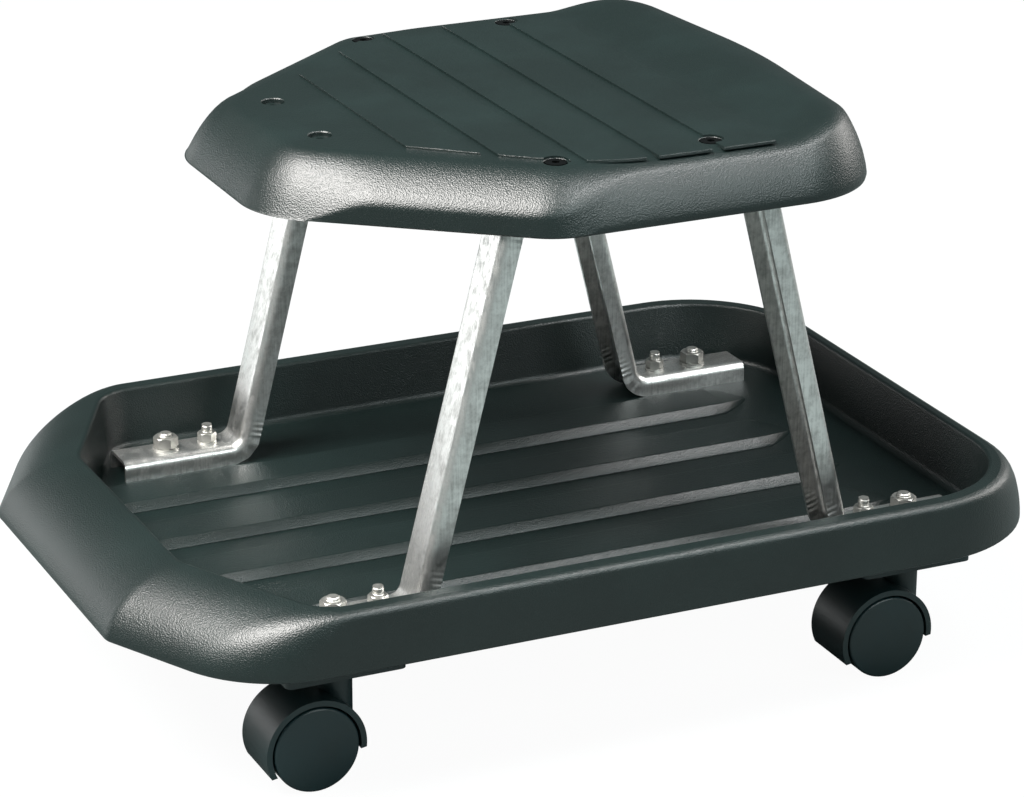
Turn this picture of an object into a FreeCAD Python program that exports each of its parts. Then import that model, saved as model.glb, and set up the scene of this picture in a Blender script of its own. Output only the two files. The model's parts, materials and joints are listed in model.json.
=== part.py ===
import FreeCAD, Part
import math
import os
import Sketcher
from FreeCAD import Placement, Rotation, Vector

# A low workshop seat on a wheeled tool tray: moulded tray and seat, bent channel legs, twin-wheel casters.
# Millimetres. X runs along the tray, Y across it, Z up from the ground, the origin under the tray's middle.

# Dimensions: name, then a value or a formula of the names above it
SIZES = (
    # tray
    ("tray_length", 550.0),
    ("tray_width", 380.0),
    ("tray_rim_top", 121.0),
    ("tray_skirt_low", 87.0),
    ("tray_floor_top", 84.0),
    ("tray_floor_thick", 3.0),
    ("tray_wall", 3.0),
    ("tray_rim_width", 14.0),
    ("tray_rim_round", 5.0),
    ("tray_cut_spread", 104.0),
    ("tray_end_half", "=tray_width / 2 - tray_cut_spread"),
    ("tray_chamfer_angle", 28.0),
    ("tray_shoulder_width", 44.0),
    ("tray_shoulder_edge", 5.0),
    ("tray_crest_width", 4.0),
    ("tray_bulge_width", 13.0),
    ("tray_bulge_drop", 9.0),
    ("tray_end_round", 30.0),
    ("tray_corner_round", 65.0),
    # legs, placed by the gaps from the tray's ends and sides to the caster stems
    ("shoulder_stem_gap", 118.2),
    ("tail_stem_gap", 74.2),
    ("side_stem_gap", 57.5),
    ("leg_lane", "=tray_width / 2 - side_stem_gap"),
    ("leg_middle", "=(shoulder_stem_gap - tail_stem_gap) / 2"),
    ("stem_place", "=(tray_length - shoulder_stem_gap - tail_stem_gap) / 2"),
    ("stem_bolt_gap", 26.6),
    ("stem_bend_gap", 42.8),
    ("stem_end_gap", 30.7),
    ("foot_bolt_place", "=stem_place - stem_bolt_gap"),
    ("leg_foot_bend", "=stem_place - stem_bend_gap"),
    ("leg_foot_end", "=stem_place + stem_end_gap"),
    ("leg_width", 28.0),
    ("leg_depth", 12.0),
    ("leg_sheet", 2.0),
    ("leg_corner", 4.0),
    ("leg_head_bend", 79.4),
    ("leg_head_end", 32.0),
    ("leg_head_top", 321.5),
    ("leg_bend_foot", 7.0),
    ("leg_bend_head", 17.0),
    ("seat_bolt_place", 46.8),
    # floor ridges between the legs
    ("ridge_leg_gap", 9.0),
    ("ridge_height", 5.5),
    ("ridge_top_share", 0.46667),
    ("ridge_spread", "=leg_lane - leg_width / 2 - ridge_leg_gap - ridge_height"),
    ("ridge_pitch", "=ridge_spread / (1.5 + ridge_top_share / 2)"),
    ("ridge_top_width", "=ridge_pitch * ridge_top_share"),
    ("ridge_start_gap", 22.0),
    ("ridge_end_gap", 46.0),
    # seat over the legs
    ("seat_nose", 167.0),
    ("seat_tail", 184.0),
    ("seat_overhang", 34.5),
    ("seat_half_width", "=leg_lane + seat_overhang"),
    ("seat_chamfer_end", 39.0),
    ("seat_side_slope", 0.797),
    ("seat_nose_half", "=seat_half_width - (seat_nose - seat_chamfer_end) * seat_side_slope"),
    ("seat_tail_bow", 15.0),
    ("seat_low", 304.0),
    ("seat_bevel_low", 317.0),
    ("seat_top", 336.0),
    ("seat_lip_top", 344.0),
    ("seat_lip_start", 106.0),
    ("seat_lip_run", 42.0),
    ("seat_wall", 3.2),
    ("seat_nose_round", 30.0),
    ("seat_side_round", 40.0),
    ("seat_tail_round", 63.0),
    ("seat_bow_round", 400.0),
    ("seat_groove_first", 92.0),
    ("seat_groove_pitch", 39.0),
    ("seat_groove_width", 8.0),
    ("seat_groove_depth", 1.2),
    ("seat_boss_radius", 14.0),
    ("seat_sink_radius", 7.0),
    ("seat_nose_hole_x", 121.0),
    ("seat_nose_hole_y", 35.0),
    # larger thread of the caster stem, smaller thread of the other bolts
    ("stem_radius", 4.0),
    ("stem_top_past_nut", 2.2),
    ("stem_nut_across", 13.0),
    ("stem_nut_high", 6.5),
    ("stem_washer_radius", 8.0),
    ("bolt_radius", 3.0),
    ("bolt_top_past_nut", 5.0),
    ("bolt_nut_across", 10.0),
    ("bolt_nut_high", 5.0),
    ("bolt_washer_radius", 6.0),
    ("bolt_head_across", 10.0),
    ("bolt_head_high", 4.0),
    ("seat_bolt_head_radius", 6.0),
    ("seat_bolt_head_high", 3.4),
    ("seat_bolt_socket_across", 4.0),
    ("seat_bolt_socket_deep", 2.2),
    ("washer_thick", 1.6),
    ("nut_bevel_share", 1.04),
    ("thread_bevel", 0.8),
    ("hole_clearance", 0.2),
    # caster blocks under the tray
    ("block_length", 71.0),
    ("block_width", 40.0),
    ("block_low", 65.0),
    ("block_round", 4.0),
    ("block_sink_radius", 7.0),
    ("block_sink_deep", 5.0),
    # casters
    ("wheel_radius", 25.0),
    ("wheel_width", 15.5),
    ("wheel_round", 2.0),
    ("wheel_ring_radius", 21.5),
    ("wheel_ring_width", 0.8),
    ("wheel_ring_depth", 0.6),
    ("wheel_side_gap", 1.0),
    ("wheel_cap", 2.5),
    ("caster_trail", 18.0),
    ("hood_gap", 1.2),
    ("hood_wall", 3.3),
    ("hood_half_width", 18.6),
    ("hood_back_drop", 14.0),
    ("hood_front_drop", 2.5),
    ("web_half", 2.5),
    ("neck_radius", 10.0),
    ("collar_high", 2.0),
    ("neck_gap", 0.1),
    ("spigot_radius", 5.45),
    ("spigot_low", 46.3),
    ("spigot_end_gap", 0.3),
    ("ring_low", 50.0),
    ("ring_thick", 1.3),
    ("ring_depth", 0.75),
    ("ring_stand", 0.8),
    ("ring_gap", 0.05),
    ("ring_room", 0.3),
    ("axle_radius", 3.0),
    ("axle_seat_gap", 0.02),
    ("running_gap", 0.05),
    ("axle_end_gap", 0.5),
    # one overrun for every cut that passes right through
    ("overrun", 5.0),
)

SIDES = (("front", -1), ("rear", 1))
ENDS = (("left", -1), ("right", 1))
RIDGE_SHARES = (-1.5, -0.5, 0.5, 1.5)
GROOVE_COUNT = 5
HALF_TURN = 180
QUARTER_TURN = 90
TOLERANCE = 1e-3

doc = FreeCAD.newDocument("creeper_seat")
sheet = doc.addObject("Spreadsheet::Sheet", "dims")
for row, (size_name, size_value) in enumerate(SIZES, start=1):
    sheet.set("A%d" % row, size_name)
    sheet.set("B%d" % row, str(size_value))
    sheet.setAlias("B%d" % row, size_name)
doc.recompute()

FLOOR_LOW = "(dims.tray_floor_top - dims.tray_floor_thick)"
FOOT_TOP = "(dims.tray_floor_top + dims.leg_depth)"
BULGE_RISE = "((dims.tray_rim_top - dims.tray_bulge_drop - dims.tray_skirt_low - dims.tray_shoulder_edge)"
BULGE_RISE += " / dims.tray_bulge_width)"
WHEEL_INNER = "(dims.web_half + dims.wheel_side_gap)"
WHEEL_OUTER = "(dims.web_half + dims.wheel_side_gap + dims.wheel_width)"
HOOD_INNER = "(dims.wheel_radius + dims.hood_gap)"
HOOD_OUTER = "(dims.wheel_radius + dims.hood_gap + dims.hood_wall)"
NECK_TOP = "(dims.block_low - dims.collar_high - dims.neck_gap)"


def value(expression):
    """The number that an expression of the sheet gives."""
    result = sheet.evalExpression(expression)
    return float(getattr(result, "Value", result))


def bind(thing, **expressions):
    """Tie properties of an object to expressions of the sheet."""
    for name, expression in expressions.items():
        thing.setExpression(name.replace("__", "."), expression)


def place(thing, x="0", y="0", z="0", turn=0):
    """Put an object at a place given by expressions, turned about Z by a number of degrees."""
    thing.Placement = Placement(Vector(), Rotation(Vector(0, 0, 1), turn))
    bind(thing, Placement__Base__x=x, Placement__Base__y=y, Placement__Base__z=z)


def new_body(label):
    body = doc.addObject("PartDesign::Body", label)
    body.Label = label
    return body


def new_sketch(body, name, role, offset="0", turn=None):
    """A sketch on one of the body's own origin planes, moved along its normal."""
    sketch = body.newObject("Sketcher::SketchObject", name)
    plane = [feature for feature in body.Origin.OriginFeatures if feature.Role == role][0]
    sketch.AttachmentSupport = (plane, [""])
    sketch.MapMode = "FlatFace"
    if turn is not None:
        sketch.AttachmentOffset = Placement(Vector(), Rotation(Vector(0, 1, 0), value(turn)))
    bind(sketch, AttachmentOffset__Base__z=offset)
    return sketch


def fix_point(sketch, geometry, position, x, y):
    """Hold one point of a sketch at a place given by two expressions."""
    for kind, expression in (("DistanceX", x), ("DistanceY", y)):
        if expression == "0":
            axis = -2 if kind == "DistanceX" else -1
            sketch.addConstraint(Sketcher.Constraint("PointOnObject", geometry, position, axis))
            continue
        number = value(expression)
        index = sketch.addConstraint(Sketcher.Constraint(kind, -1, 1, geometry, position, number))
        sketch.setExpression("Constraints[%d]" % index, expression)


def polygon(sketch, points):
    """A closed outline whose corners are pairs of expressions."""
    corners = [Vector(value(x), value(y), 0) for x, y in points]
    count = len(corners)
    first = sketch.GeometryCount
    for index in range(count):
        sketch.addGeometry(Part.LineSegment(corners[index], corners[(index + 1) % count]), False)
    for index in range(count):
        following = first + (index + 1) % count
        sketch.addConstraint(Sketcher.Constraint("Coincident", first + index, 2, following, 1))
    for index, (x, y) in enumerate(points):
        fix_point(sketch, first + index, 1, x, y)


def rectangle(sketch, low_x, low_y, high_x, high_y):
    polygon(sketch, ((low_x, low_y), (high_x, low_y), (high_x, high_y), (low_x, high_y)))


def circle(sketch, x, y, radius):
    middle = Vector(value(x), value(y), 0)
    index = sketch.addGeometry(Part.Circle(middle, Vector(0, 0, 1), value(radius)), False)
    fix_point(sketch, index, 3, x, y)
    held = sketch.addConstraint(Sketcher.Constraint("Radius", index, value(radius)))
    sketch.setExpression("Constraints[%d]" % held, radius)


def extrude(body, kind, sketch, length, reverse=False, both=False):
    """A Pad or Pocket of a sketch whose length is an expression."""
    feature = body.newObject("PartDesign::" + kind, kind + "_" + sketch.Name)
    feature.Profile = sketch
    feature.Reversed = reverse
    if both:
        feature.SideType = "Symmetric"
    bind(feature, Length=length)
    doc.recompute()
    if kind == "Pocket" and feature.Shape.Volume >= feature.BaseFeature.Shape.Volume:
        raise RuntimeError("the pocket %s of %s cuts nothing" % (sketch.Name, body.Label))
    return feature


def turned(body, name, points, role="XZ_Plane", kind="Revolution"):
    """A turned solid or cut from an outline of (radius, place along the axis) pairs."""
    sketch = new_sketch(body, name, role)
    polygon(sketch, points)
    feature = body.newObject("PartDesign::" + kind, "turn_" + name)
    feature.Profile = sketch
    feature.ReferenceAxis = (sketch, ["V_Axis"])
    doc.recompute()
    return feature


def dress(body, kind, test, **sizes):
    """Round or bevel the edges of the body's last feature that pass a test on the edge."""
    base = body.Tip
    names = ["Edge%d" % number for number, edge in enumerate(base.Shape.Edges, start=1) if test(edge)]
    if not names:
        raise RuntimeError("no edge to dress on " + body.Label)
    feature = body.newObject("PartDesign::" + kind, kind + "_" + base.Name)
    feature.Base = (base, names)
    bind(feature, **sizes)
    doc.recompute()
    return feature


def near(first, second):
    return abs(first - second) < TOLERANCE


def upright(edge, x=None, y=None):
    """True for a straight vertical edge, at the given distances from the middle planes if any."""
    if len(edge.Vertexes) != 2 or edge.Curve.TypeId != "Part::GeomLine":
        return False
    start, end = edge.Vertexes[0].Point, edge.Vertexes[1].Point
    vertical = near(start.x, end.x) and near(start.y, end.y)
    return vertical and (x is None or near(start.x, x)) and (y is None or near(abs(start.y), y))


def circular(edge, radius):
    return edge.Curve.TypeId == "Part::GeomCircle" and near(edge.Curve.Radius, radius)


def level(edge, z):
    return all(near(vertex.Point.z, z) for vertex in edge.Vertexes) and near(edge.CenterOfMass.z, z)


def tray_outline(end_inset, side_inset):
    """Corners of the tray's plan: two cut corners at the shoulder end, square corners at the other end."""
    cosine = "cos(dims.tray_chamfer_angle)"
    sine = "sin(dims.tray_chamfer_angle)"
    end = "(dims.tray_length / 2 - %s)" % end_inset
    reach = "(%s * dims.tray_length / 2 + %s * dims.tray_end_half - %s)" % (cosine, sine, end_inset)
    side = "(dims.tray_width / 2 - %s)" % side_inset
    tail = "(dims.tray_length / 2 - %s)" % side_inset
    end_half = "((%s - %s * %s) / %s)" % (reach, cosine, end, sine)
    cut_end = "((%s - %s * %s) / %s)" % (reach, sine, side, cosine)
    return (("-" + end, "-" + end_half), ("-" + cut_end, "-" + side), (tail, "-" + side),
            (tail, side), ("-" + cut_end, side), ("-" + end, end_half))


def round_tray_corners(body, end_inset, side_inset):
    points = tray_outline(end_inset, side_inset)
    tail = value(points[2][0])
    end = value(points[0][0])
    tail_round = "dims.tray_corner_round - %s" % side_inset
    end_round = "dims.tray_end_round - %s / 2" % end_inset
    dress(body, "Fillet", lambda edge: upright(edge, x=tail), Radius=tail_round)
    dress(body, "Fillet", lambda edge: upright(edge, x=end), Radius=end_round)


def slope_shoulder(body, drop):
    """Cut the sloping shoulder across the end and both cut corners; drop lowers the slope for the hollow."""
    cosine = "cos(dims.tray_chamfer_angle)"
    sine = "sin(dims.tray_chamfer_angle)"
    corner_reach = "(%s * dims.tray_length / 2 + %s * dims.tray_end_half)" % (cosine, sine)
    low = "(dims.tray_skirt_low + dims.tray_shoulder_edge - %s)" % drop
    bulge = "(dims.tray_rim_top - dims.tray_bulge_drop - %s)" % drop
    high = "(dims.tray_rim_top - %s)" % drop
    rise = "(dims.tray_bulge_drop / (dims.tray_shoulder_width - dims.tray_bulge_width))"
    for name, reach, turn in (("end", "(dims.tray_length / 2)", "0"),
                              ("front", corner_reach, "dims.tray_chamfer_angle"),
                              ("rear", corner_reach, "-dims.tray_chamfer_angle")):
        sketch = new_sketch(body, "shoulder_" + name, "XZ_Plane", turn=turn)
        out = "-(%s + dims.overrun)" % reach
        inner = "-(%s - dims.tray_shoulder_width - dims.overrun)" % reach
        polygon(sketch, ((out, "%s - %s * dims.overrun" % (low, BULGE_RISE)),
                         ("-(%s - dims.tray_bulge_width)" % reach, bulge),
                         (inner, "%s + %s * dims.overrun" % (high, rise)),
                         (inner, "dims.tray_rim_top + dims.tray_wall + dims.overrun * 2"),
                         (out, "dims.tray_rim_top + dims.tray_wall + dims.overrun * 2")))
        extrude(body, "Pocket", sketch, "dims.tray_width * 4", both=True)


def ridge_outline(sketch, centre, low, high, base_half):
    """One ridge across the tray: sides at 45 degrees."""
    top_half = "(%s - (%s - %s))" % (base_half, high, low)
    polygon(sketch, (("%s - %s" % (centre, base_half), low), ("%s + %s" % (centre, base_half), low),
                     ("%s + %s" % (centre, top_half), high), ("%s - %s" % (centre, top_half), high)))


def leg_circles(sketch, place_x, radius):
    """Circles at the four legs, at one distance along X from the middle between the legs."""
    for end in (-1, 1):
        for side in (-1, 1):
            circle(sketch, "dims.leg_middle + %d * %s" % (end, place_x), "%d * dims.leg_lane" % side, radius)


def prism(label, outline, low, high):
    """A body that stands on an outline of the tray, with the tray's rounded corners."""
    body = new_body(label)
    sketch = new_sketch(body, label + "_outline", "XY_Plane", low)
    polygon(sketch, tray_outline(*outline))
    extrude(body, "Pad", sketch, "%s - %s" % (high, low))
    round_tray_corners(body, *outline)
    return body


def make_tray():
    cavity_end = "(dims.tray_shoulder_width + dims.tray_crest_width)"
    cavity_side = "dims.tray_rim_width"
    pan_end = "(%s - dims.tray_wall)" % cavity_end
    pan_side = "(%s - dims.tray_wall)" % cavity_side

    rim = prism("tray_rim", ("0", "0"), "dims.tray_skirt_low", "dims.tray_rim_top")
    slope_shoulder(rim, "0")
    rim_top = value("dims.tray_rim_top")
    dress(rim, "Fillet", lambda edge: level(edge, rim_top), Radius="dims.tray_rim_round")

    hollow = prism("tray_hollow", ("dims.tray_wall", "dims.tray_wall"),
                   "(dims.tray_skirt_low - dims.overrun)", "(dims.tray_rim_top - dims.tray_wall)")
    slope_shoulder(hollow, "(dims.tray_wall * sqrt(1 + pow(%s; 2)))" % BULGE_RISE)

    pan = prism("tray_pan", (pan_end, pan_side), FLOOR_LOW, "(dims.tray_rim_top - dims.tray_wall / 2)")
    cavity = prism("tray_cavity", (cavity_end, cavity_side), "dims.tray_floor_top",
                   "(dims.tray_rim_top + dims.overrun)")

    half = "(dims.ridge_top_width / 2 + dims.ridge_height)"
    inside_half = "(%s - dims.tray_floor_thick * (sqrt(2) - 1))" % half
    start = "(-dims.tray_length / 2 + %s + dims.ridge_start_gap)" % cavity_end
    length = "(dims.tray_length / 2 - dims.tray_rim_width - dims.ridge_end_gap - %s)" % start
    for body, floor, middle_half, inset in ((cavity, "dims.tray_floor_top", half, "0"),
                                            (pan, FLOOR_LOW, inside_half, "dims.tray_floor_thick")):
        sketch = new_sketch(body, body.Label + "_ridges", "YZ_Plane", "%s + %s" % (start, inset))
        for share in RIDGE_SHARES:
            ridge_outline(sketch, "%s * dims.ridge_pitch" % share, floor,
                          "(%s + dims.ridge_height)" % floor, middle_half)
        extrude(body, "Pocket", sketch, "%s - 2 * %s" % (length, inset), reverse=True)

    for name, place_x, radius in (("tray_stem_holes", "dims.stem_place", "dims.stem_radius"),
                                  ("tray_bolt_holes", "dims.foot_bolt_place", "dims.bolt_radius")):
        sketch = new_sketch(pan, name, "XY_Plane", "%s - dims.overrun" % FLOOR_LOW)
        leg_circles(sketch, place_x, radius + " + dims.hole_clearance")
        extrude(pan, "Pocket", sketch, "dims.tray_floor_thick + dims.overrun * 2", reverse=True)

    skirt = boolean("Cut", "tray_skirt", rim, hollow)
    filled = boolean("Fuse", "tray_filled", skirt, pan)
    return [boolean("Cut", "tray", filled, cavity)]


def seat_outline(inset):
    """Corners of the seat's plan, all walls moved in by an inset."""
    run = "(dims.seat_nose - dims.seat_chamfer_end)"
    spread = "(dims.seat_half_width - dims.seat_nose_half)"
    slant = "sqrt(pow(%s; 2) + pow(%s; 2))" % (run, spread)
    nose = "(dims.seat_nose - %s)" % inset
    side = "(dims.seat_half_width - %s)" % inset
    lean = "(dims.seat_tail_bow / dims.seat_half_width)"
    tail = "(dims.seat_tail - %s * sqrt(1 + pow(%s; 2)))" % (inset, lean)
    tail_corner = "(%s - %s * %s)" % (tail, lean, side)
    nose_half = "(dims.seat_nose_half - %s * (%s - %s) / %s)" % (inset, slant, spread, run)
    cut_end = "(dims.seat_chamfer_end - %s * (%s - %s) / %s)" % (inset, slant, run, spread)
    return (("-" + nose, "-" + nose_half), ("-" + cut_end, "-" + side), (tail_corner, "-" + side),
            (tail, "0"), (tail_corner, side), ("-" + cut_end, side), ("-" + nose, nose_half))


def seat_prism(label, inset, low, high, bevel):
    """A body on the seat's plan with its rounded corners and a bevel round its top."""
    body = new_body(label)
    sketch = new_sketch(body, label + "_plan", "XY_Plane", low)
    points = seat_outline(inset)
    polygon(sketch, points)
    extrude(body, "Pad", sketch, "%s - %s" % (high, low))
    rounds = ("dims.seat_nose_round", "dims.seat_side_round", "dims.seat_tail_round", "dims.seat_bow_round")
    for index, radius in enumerate(rounds):
        x, y = (value(part) for part in points[index])
        dress(body, "Fillet", lambda edge: upright(edge, x, abs(y)), Radius="%s - %s" % (radius, inset))
    top = value(high)
    dress(body, "Chamfer", lambda edge: level(edge, top), Size=bevel)
    return body


def make_seat():
    outside = seat_prism("seat_outside", "0", "dims.seat_low", "dims.seat_lip_top",
                         "dims.seat_lip_top - dims.seat_bevel_low")
    sketch = new_sketch(outside, "seat_saddle", "XZ_Plane")
    lip_end = "dims.seat_lip_start + dims.seat_lip_run"
    nose_end = "-dims.seat_nose - dims.overrun"
    polygon(sketch, ((nose_end, "dims.seat_top"), ("dims.seat_lip_start", "dims.seat_top"),
                     (lip_end, "dims.seat_lip_top"), (lip_end, "dims.seat_lip_top + dims.overrun"),
                     (nose_end, "dims.seat_lip_top + dims.overrun")))
    extrude(outside, "Pocket", sketch, "dims.seat_half_width * 3", both=True)

    sink_floor = "(dims.seat_top - dims.seat_bolt_head_high)"
    hole_floor = "(dims.leg_head_top - dims.overrun)"
    for name, radius, floor in (("seat_sinks", "dims.seat_sink_radius", sink_floor),
                                ("seat_holes", "(dims.bolt_radius + dims.hole_clearance)", hole_floor)):
        sketch = new_sketch(outside, name, "XY_Plane", "dims.seat_top + dims.overrun")
        leg_circles(sketch, "dims.seat_bolt_place", radius)
        for side in (-1, 1):
            circle(sketch, "-dims.seat_nose_hole_x", "%d * dims.seat_nose_hole_y" % side, radius)
        extrude(outside, "Pocket", sketch, "dims.seat_top + dims.overrun - " + floor)

    sketch = new_sketch(outside, "seat_grooves", "XY_Plane", "dims.seat_top + dims.overrun")
    for index in range(GROOVE_COUNT):
        middle = "(-dims.seat_groove_first + %d * dims.seat_groove_pitch)" % index
        rectangle(sketch, middle + " - dims.seat_groove_width / 2", "-dims.seat_half_width",
                  middle + " + dims.seat_groove_width / 2", "dims.seat_half_width")
    extrude(outside, "Pocket", sketch, "dims.overrun + dims.seat_groove_depth")

    ceiling = "(dims.seat_top - dims.seat_wall)"
    inside = seat_prism("seat_inside", "dims.seat_wall", "(dims.seat_low - dims.overrun)", ceiling,
                        "%s - dims.seat_bevel_low + dims.seat_wall * (sqrt(2) - 1)" % ceiling)
    sketch = new_sketch(inside, "seat_bosses", "XY_Plane", "dims.leg_head_top")
    leg_circles(sketch, "dims.seat_bolt_place", "dims.seat_boss_radius")
    for side in (-1, 1):
        nose_y = "%d * dims.seat_nose_hole_y" % side
        circle(sketch, "-dims.seat_nose_hole_x", nose_y, "dims.seat_boss_radius")
    extrude(inside, "Pocket", sketch, "%s - dims.leg_head_top + dims.overrun" % ceiling, reverse=True)
    return [boolean("Cut", "seat_shell", outside, inside)]


def leg_path(sketch):
    """The line of the web's outer face: foot, bend, upright, bend, head, each bend tangent to its runs."""
    corners = [Vector(-value(x), value(z), 0) for x, z in (
        ("dims.leg_foot_end", FOOT_TOP), ("dims.leg_foot_bend", FOOT_TOP),
        ("dims.leg_head_bend", "dims.leg_head_top"), ("dims.leg_head_end", "dims.leg_head_top"))]
    start = corners[0]
    chain = []
    for index, radius in enumerate(("dims.leg_bend_foot", "dims.leg_bend_head")):
        before = (corners[index + 1] - corners[index]).normalize()
        after = (corners[index + 2] - corners[index + 1]).normalize()
        half_turn = before.getAngle(after) / 2
        reach = value(radius) * math.tan(half_turn)
        enter = corners[index + 1] - before * reach
        leave = corners[index + 1] + after * reach
        inwards = (after - before).normalize()
        middle = corners[index + 1] + inwards * value(radius) * (1 / math.cos(half_turn) - 1)
        chain.append(sketch.addGeometry(Part.LineSegment(start, enter), False))
        chain.append(sketch.addGeometry(Part.Arc(enter, middle, leave), False))
        held = sketch.addConstraint(Sketcher.Constraint("Radius", chain[-1], value(radius)))
        sketch.setExpression("Constraints[%d]" % held, radius)
        start = leave
    chain.append(sketch.addGeometry(Part.LineSegment(start, corners[3]), False))
    for first, second in zip(chain, chain[1:]):
        ends = [(a, b) for a in (1, 2) for b in (1, 2)]
        a, b = min(ends, key=lambda pair: sketch.getPoint(first, pair[0]).distanceToPoint(
            sketch.getPoint(second, pair[1])))
        sketch.addConstraint(Sketcher.Constraint("Tangent", first, a, second, b))
    for run in (chain[0], chain[4]):
        sketch.addConstraint(Sketcher.Constraint("Horizontal", run))
    fix_point(sketch, chain[0], 1, "-dims.leg_foot_end", FOOT_TOP)
    fix_point(sketch, chain[4], 2, "-dims.leg_head_end", "dims.leg_head_top")
    for corner, x, z in ((corners[1], "-dims.leg_foot_bend", FOOT_TOP),
                         (corners[2], "-dims.leg_head_bend", "dims.leg_head_top")):
        mark = sketch.addGeometry(Part.Point(corner), True)
        fix_point(sketch, mark, 1, x, z)
        sketch.addConstraint(Sketcher.Constraint("PointOnObject", mark, 1, chain[2]))


def make_leg(label, end, side):
    leg = new_body("leg_" + label)
    path = new_sketch(leg, "path_" + label, "XZ_Plane")
    leg_path(path)
    section = new_sketch(leg, "section_" + label, "YZ_Plane", "-dims.leg_foot_end")
    half = "dims.leg_width / 2"
    inner = "(dims.leg_width / 2 - dims.leg_sheet)"
    edge = "(%s - dims.leg_depth)" % FOOT_TOP
    under = "(%s - dims.leg_sheet)" % FOOT_TOP
    polygon(section, (("-" + half, FOOT_TOP), (half, FOOT_TOP), (half, edge), (inner, edge), (inner, under),
                      ("-" + inner, under), ("-" + inner, edge), ("-" + half, edge)))
    pipe = leg.newObject("PartDesign::AdditivePipe", "channel_" + label)
    pipe.Profile = section
    pipe.Spine = path
    doc.recompute()
    for height, reach, radius in ((FOOT_TOP, half, "dims.leg_corner"),
                                  (under, inner, "dims.leg_corner - dims.leg_sheet")):
        z, y = value(height), value(reach)
        dress(leg, "Fillet", lambda rim: level(rim, z) and near(abs(rim.CenterOfMass.y), y), Radius=radius)
    for name, places, height in (
            ("foot", (("dims.stem_place", "dims.stem_radius"), ("dims.foot_bolt_place", "dims.bolt_radius")),
             FOOT_TOP),
            ("head", (("dims.seat_bolt_place", "dims.bolt_radius"),), "dims.leg_head_top")):
        sketch = new_sketch(leg, "%s_holes_%s" % (name, label), "XY_Plane", "%s + dims.overrun" % height)
        for place_x, radius in places:
            circle(sketch, "-" + place_x, "0", radius + " + dims.hole_clearance")
        extrude(leg, "Pocket", sketch, "dims.overrun + dims.leg_sheet * 2")
    place(leg, "dims.leg_middle", "%d * dims.leg_lane" % side, turn=0 if end < 0 else HALF_TURN)
    return leg


def make_block(label, end, side):
    """Spacer under the tray that the caster stem and the foot bolt pass through."""
    block = new_body("caster_block_" + label)
    sketch = new_sketch(block, "block_plan_" + label, "XY_Plane", "dims.block_low")
    rectangle(sketch, "-dims.block_length / 2", "-dims.block_width / 2", "dims.block_length / 2",
              "dims.block_width / 2")
    extrude(block, "Pad", sketch, "%s - dims.block_low" % FLOOR_LOW)
    dress(block, "Fillet", upright, Radius="dims.block_round")
    bolt_x = "(dims.stem_place - dims.foot_bolt_place)"
    for name, x, radius, depth in (
            ("stem_hole", "0", "dims.stem_radius + dims.hole_clearance", "dims.tray_floor_top"),
            ("bolt_hole", bolt_x, "dims.bolt_radius + dims.hole_clearance", "dims.tray_floor_top"),
            ("bolt_sink", bolt_x, "dims.block_sink_radius", "(dims.block_low + dims.block_sink_deep)")):
        sketch = new_sketch(block, "%s_%s" % (name, label), "XY_Plane", "dims.block_low - dims.overrun")
        circle(sketch, x, "0", radius)
        extrude(block, "Pocket", sketch, "%s - dims.block_low + dims.overrun" % depth, reverse=True)
    place(block, "dims.leg_middle + %d * dims.stem_place" % end, "%d * dims.leg_lane" % side,
          turn=0 if end < 0 else HALF_TURN)
    return block


def make_stem(label, end, side):
    """Threaded stem with a collar under the block and a plain spigot in the caster's neck."""
    stem = new_body("caster_stem_" + label)
    groove = "(dims.spigot_radius - dims.ring_depth)"
    groove_top = "(dims.ring_low + dims.ring_thick + 2 * dims.ring_gap)"
    collar_low = "(dims.block_low - dims.collar_high)"
    top = "(%s + dims.washer_thick + dims.stem_nut_high + dims.stem_top_past_nut)" % FOOT_TOP
    turned(stem, "stem_" + label, (
        ("0", "dims.spigot_low"), ("dims.spigot_radius", "dims.spigot_low"),
        ("dims.spigot_radius", "dims.ring_low"), (groove, "dims.ring_low"), (groove, groove_top),
        ("dims.spigot_radius", groove_top), ("dims.spigot_radius", collar_low),
        ("dims.neck_radius", collar_low), ("dims.neck_radius", "dims.block_low"),
        ("dims.stem_radius", "dims.block_low"),
        ("dims.stem_radius", top), ("0", top)))
    summit = value(top)
    dress(stem, "Chamfer", lambda edge: level(edge, summit), Size="dims.thread_bevel")
    place(stem, "dims.leg_middle + %d * dims.stem_place" % end, "%d * dims.leg_lane" % side)
    return stem


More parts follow.
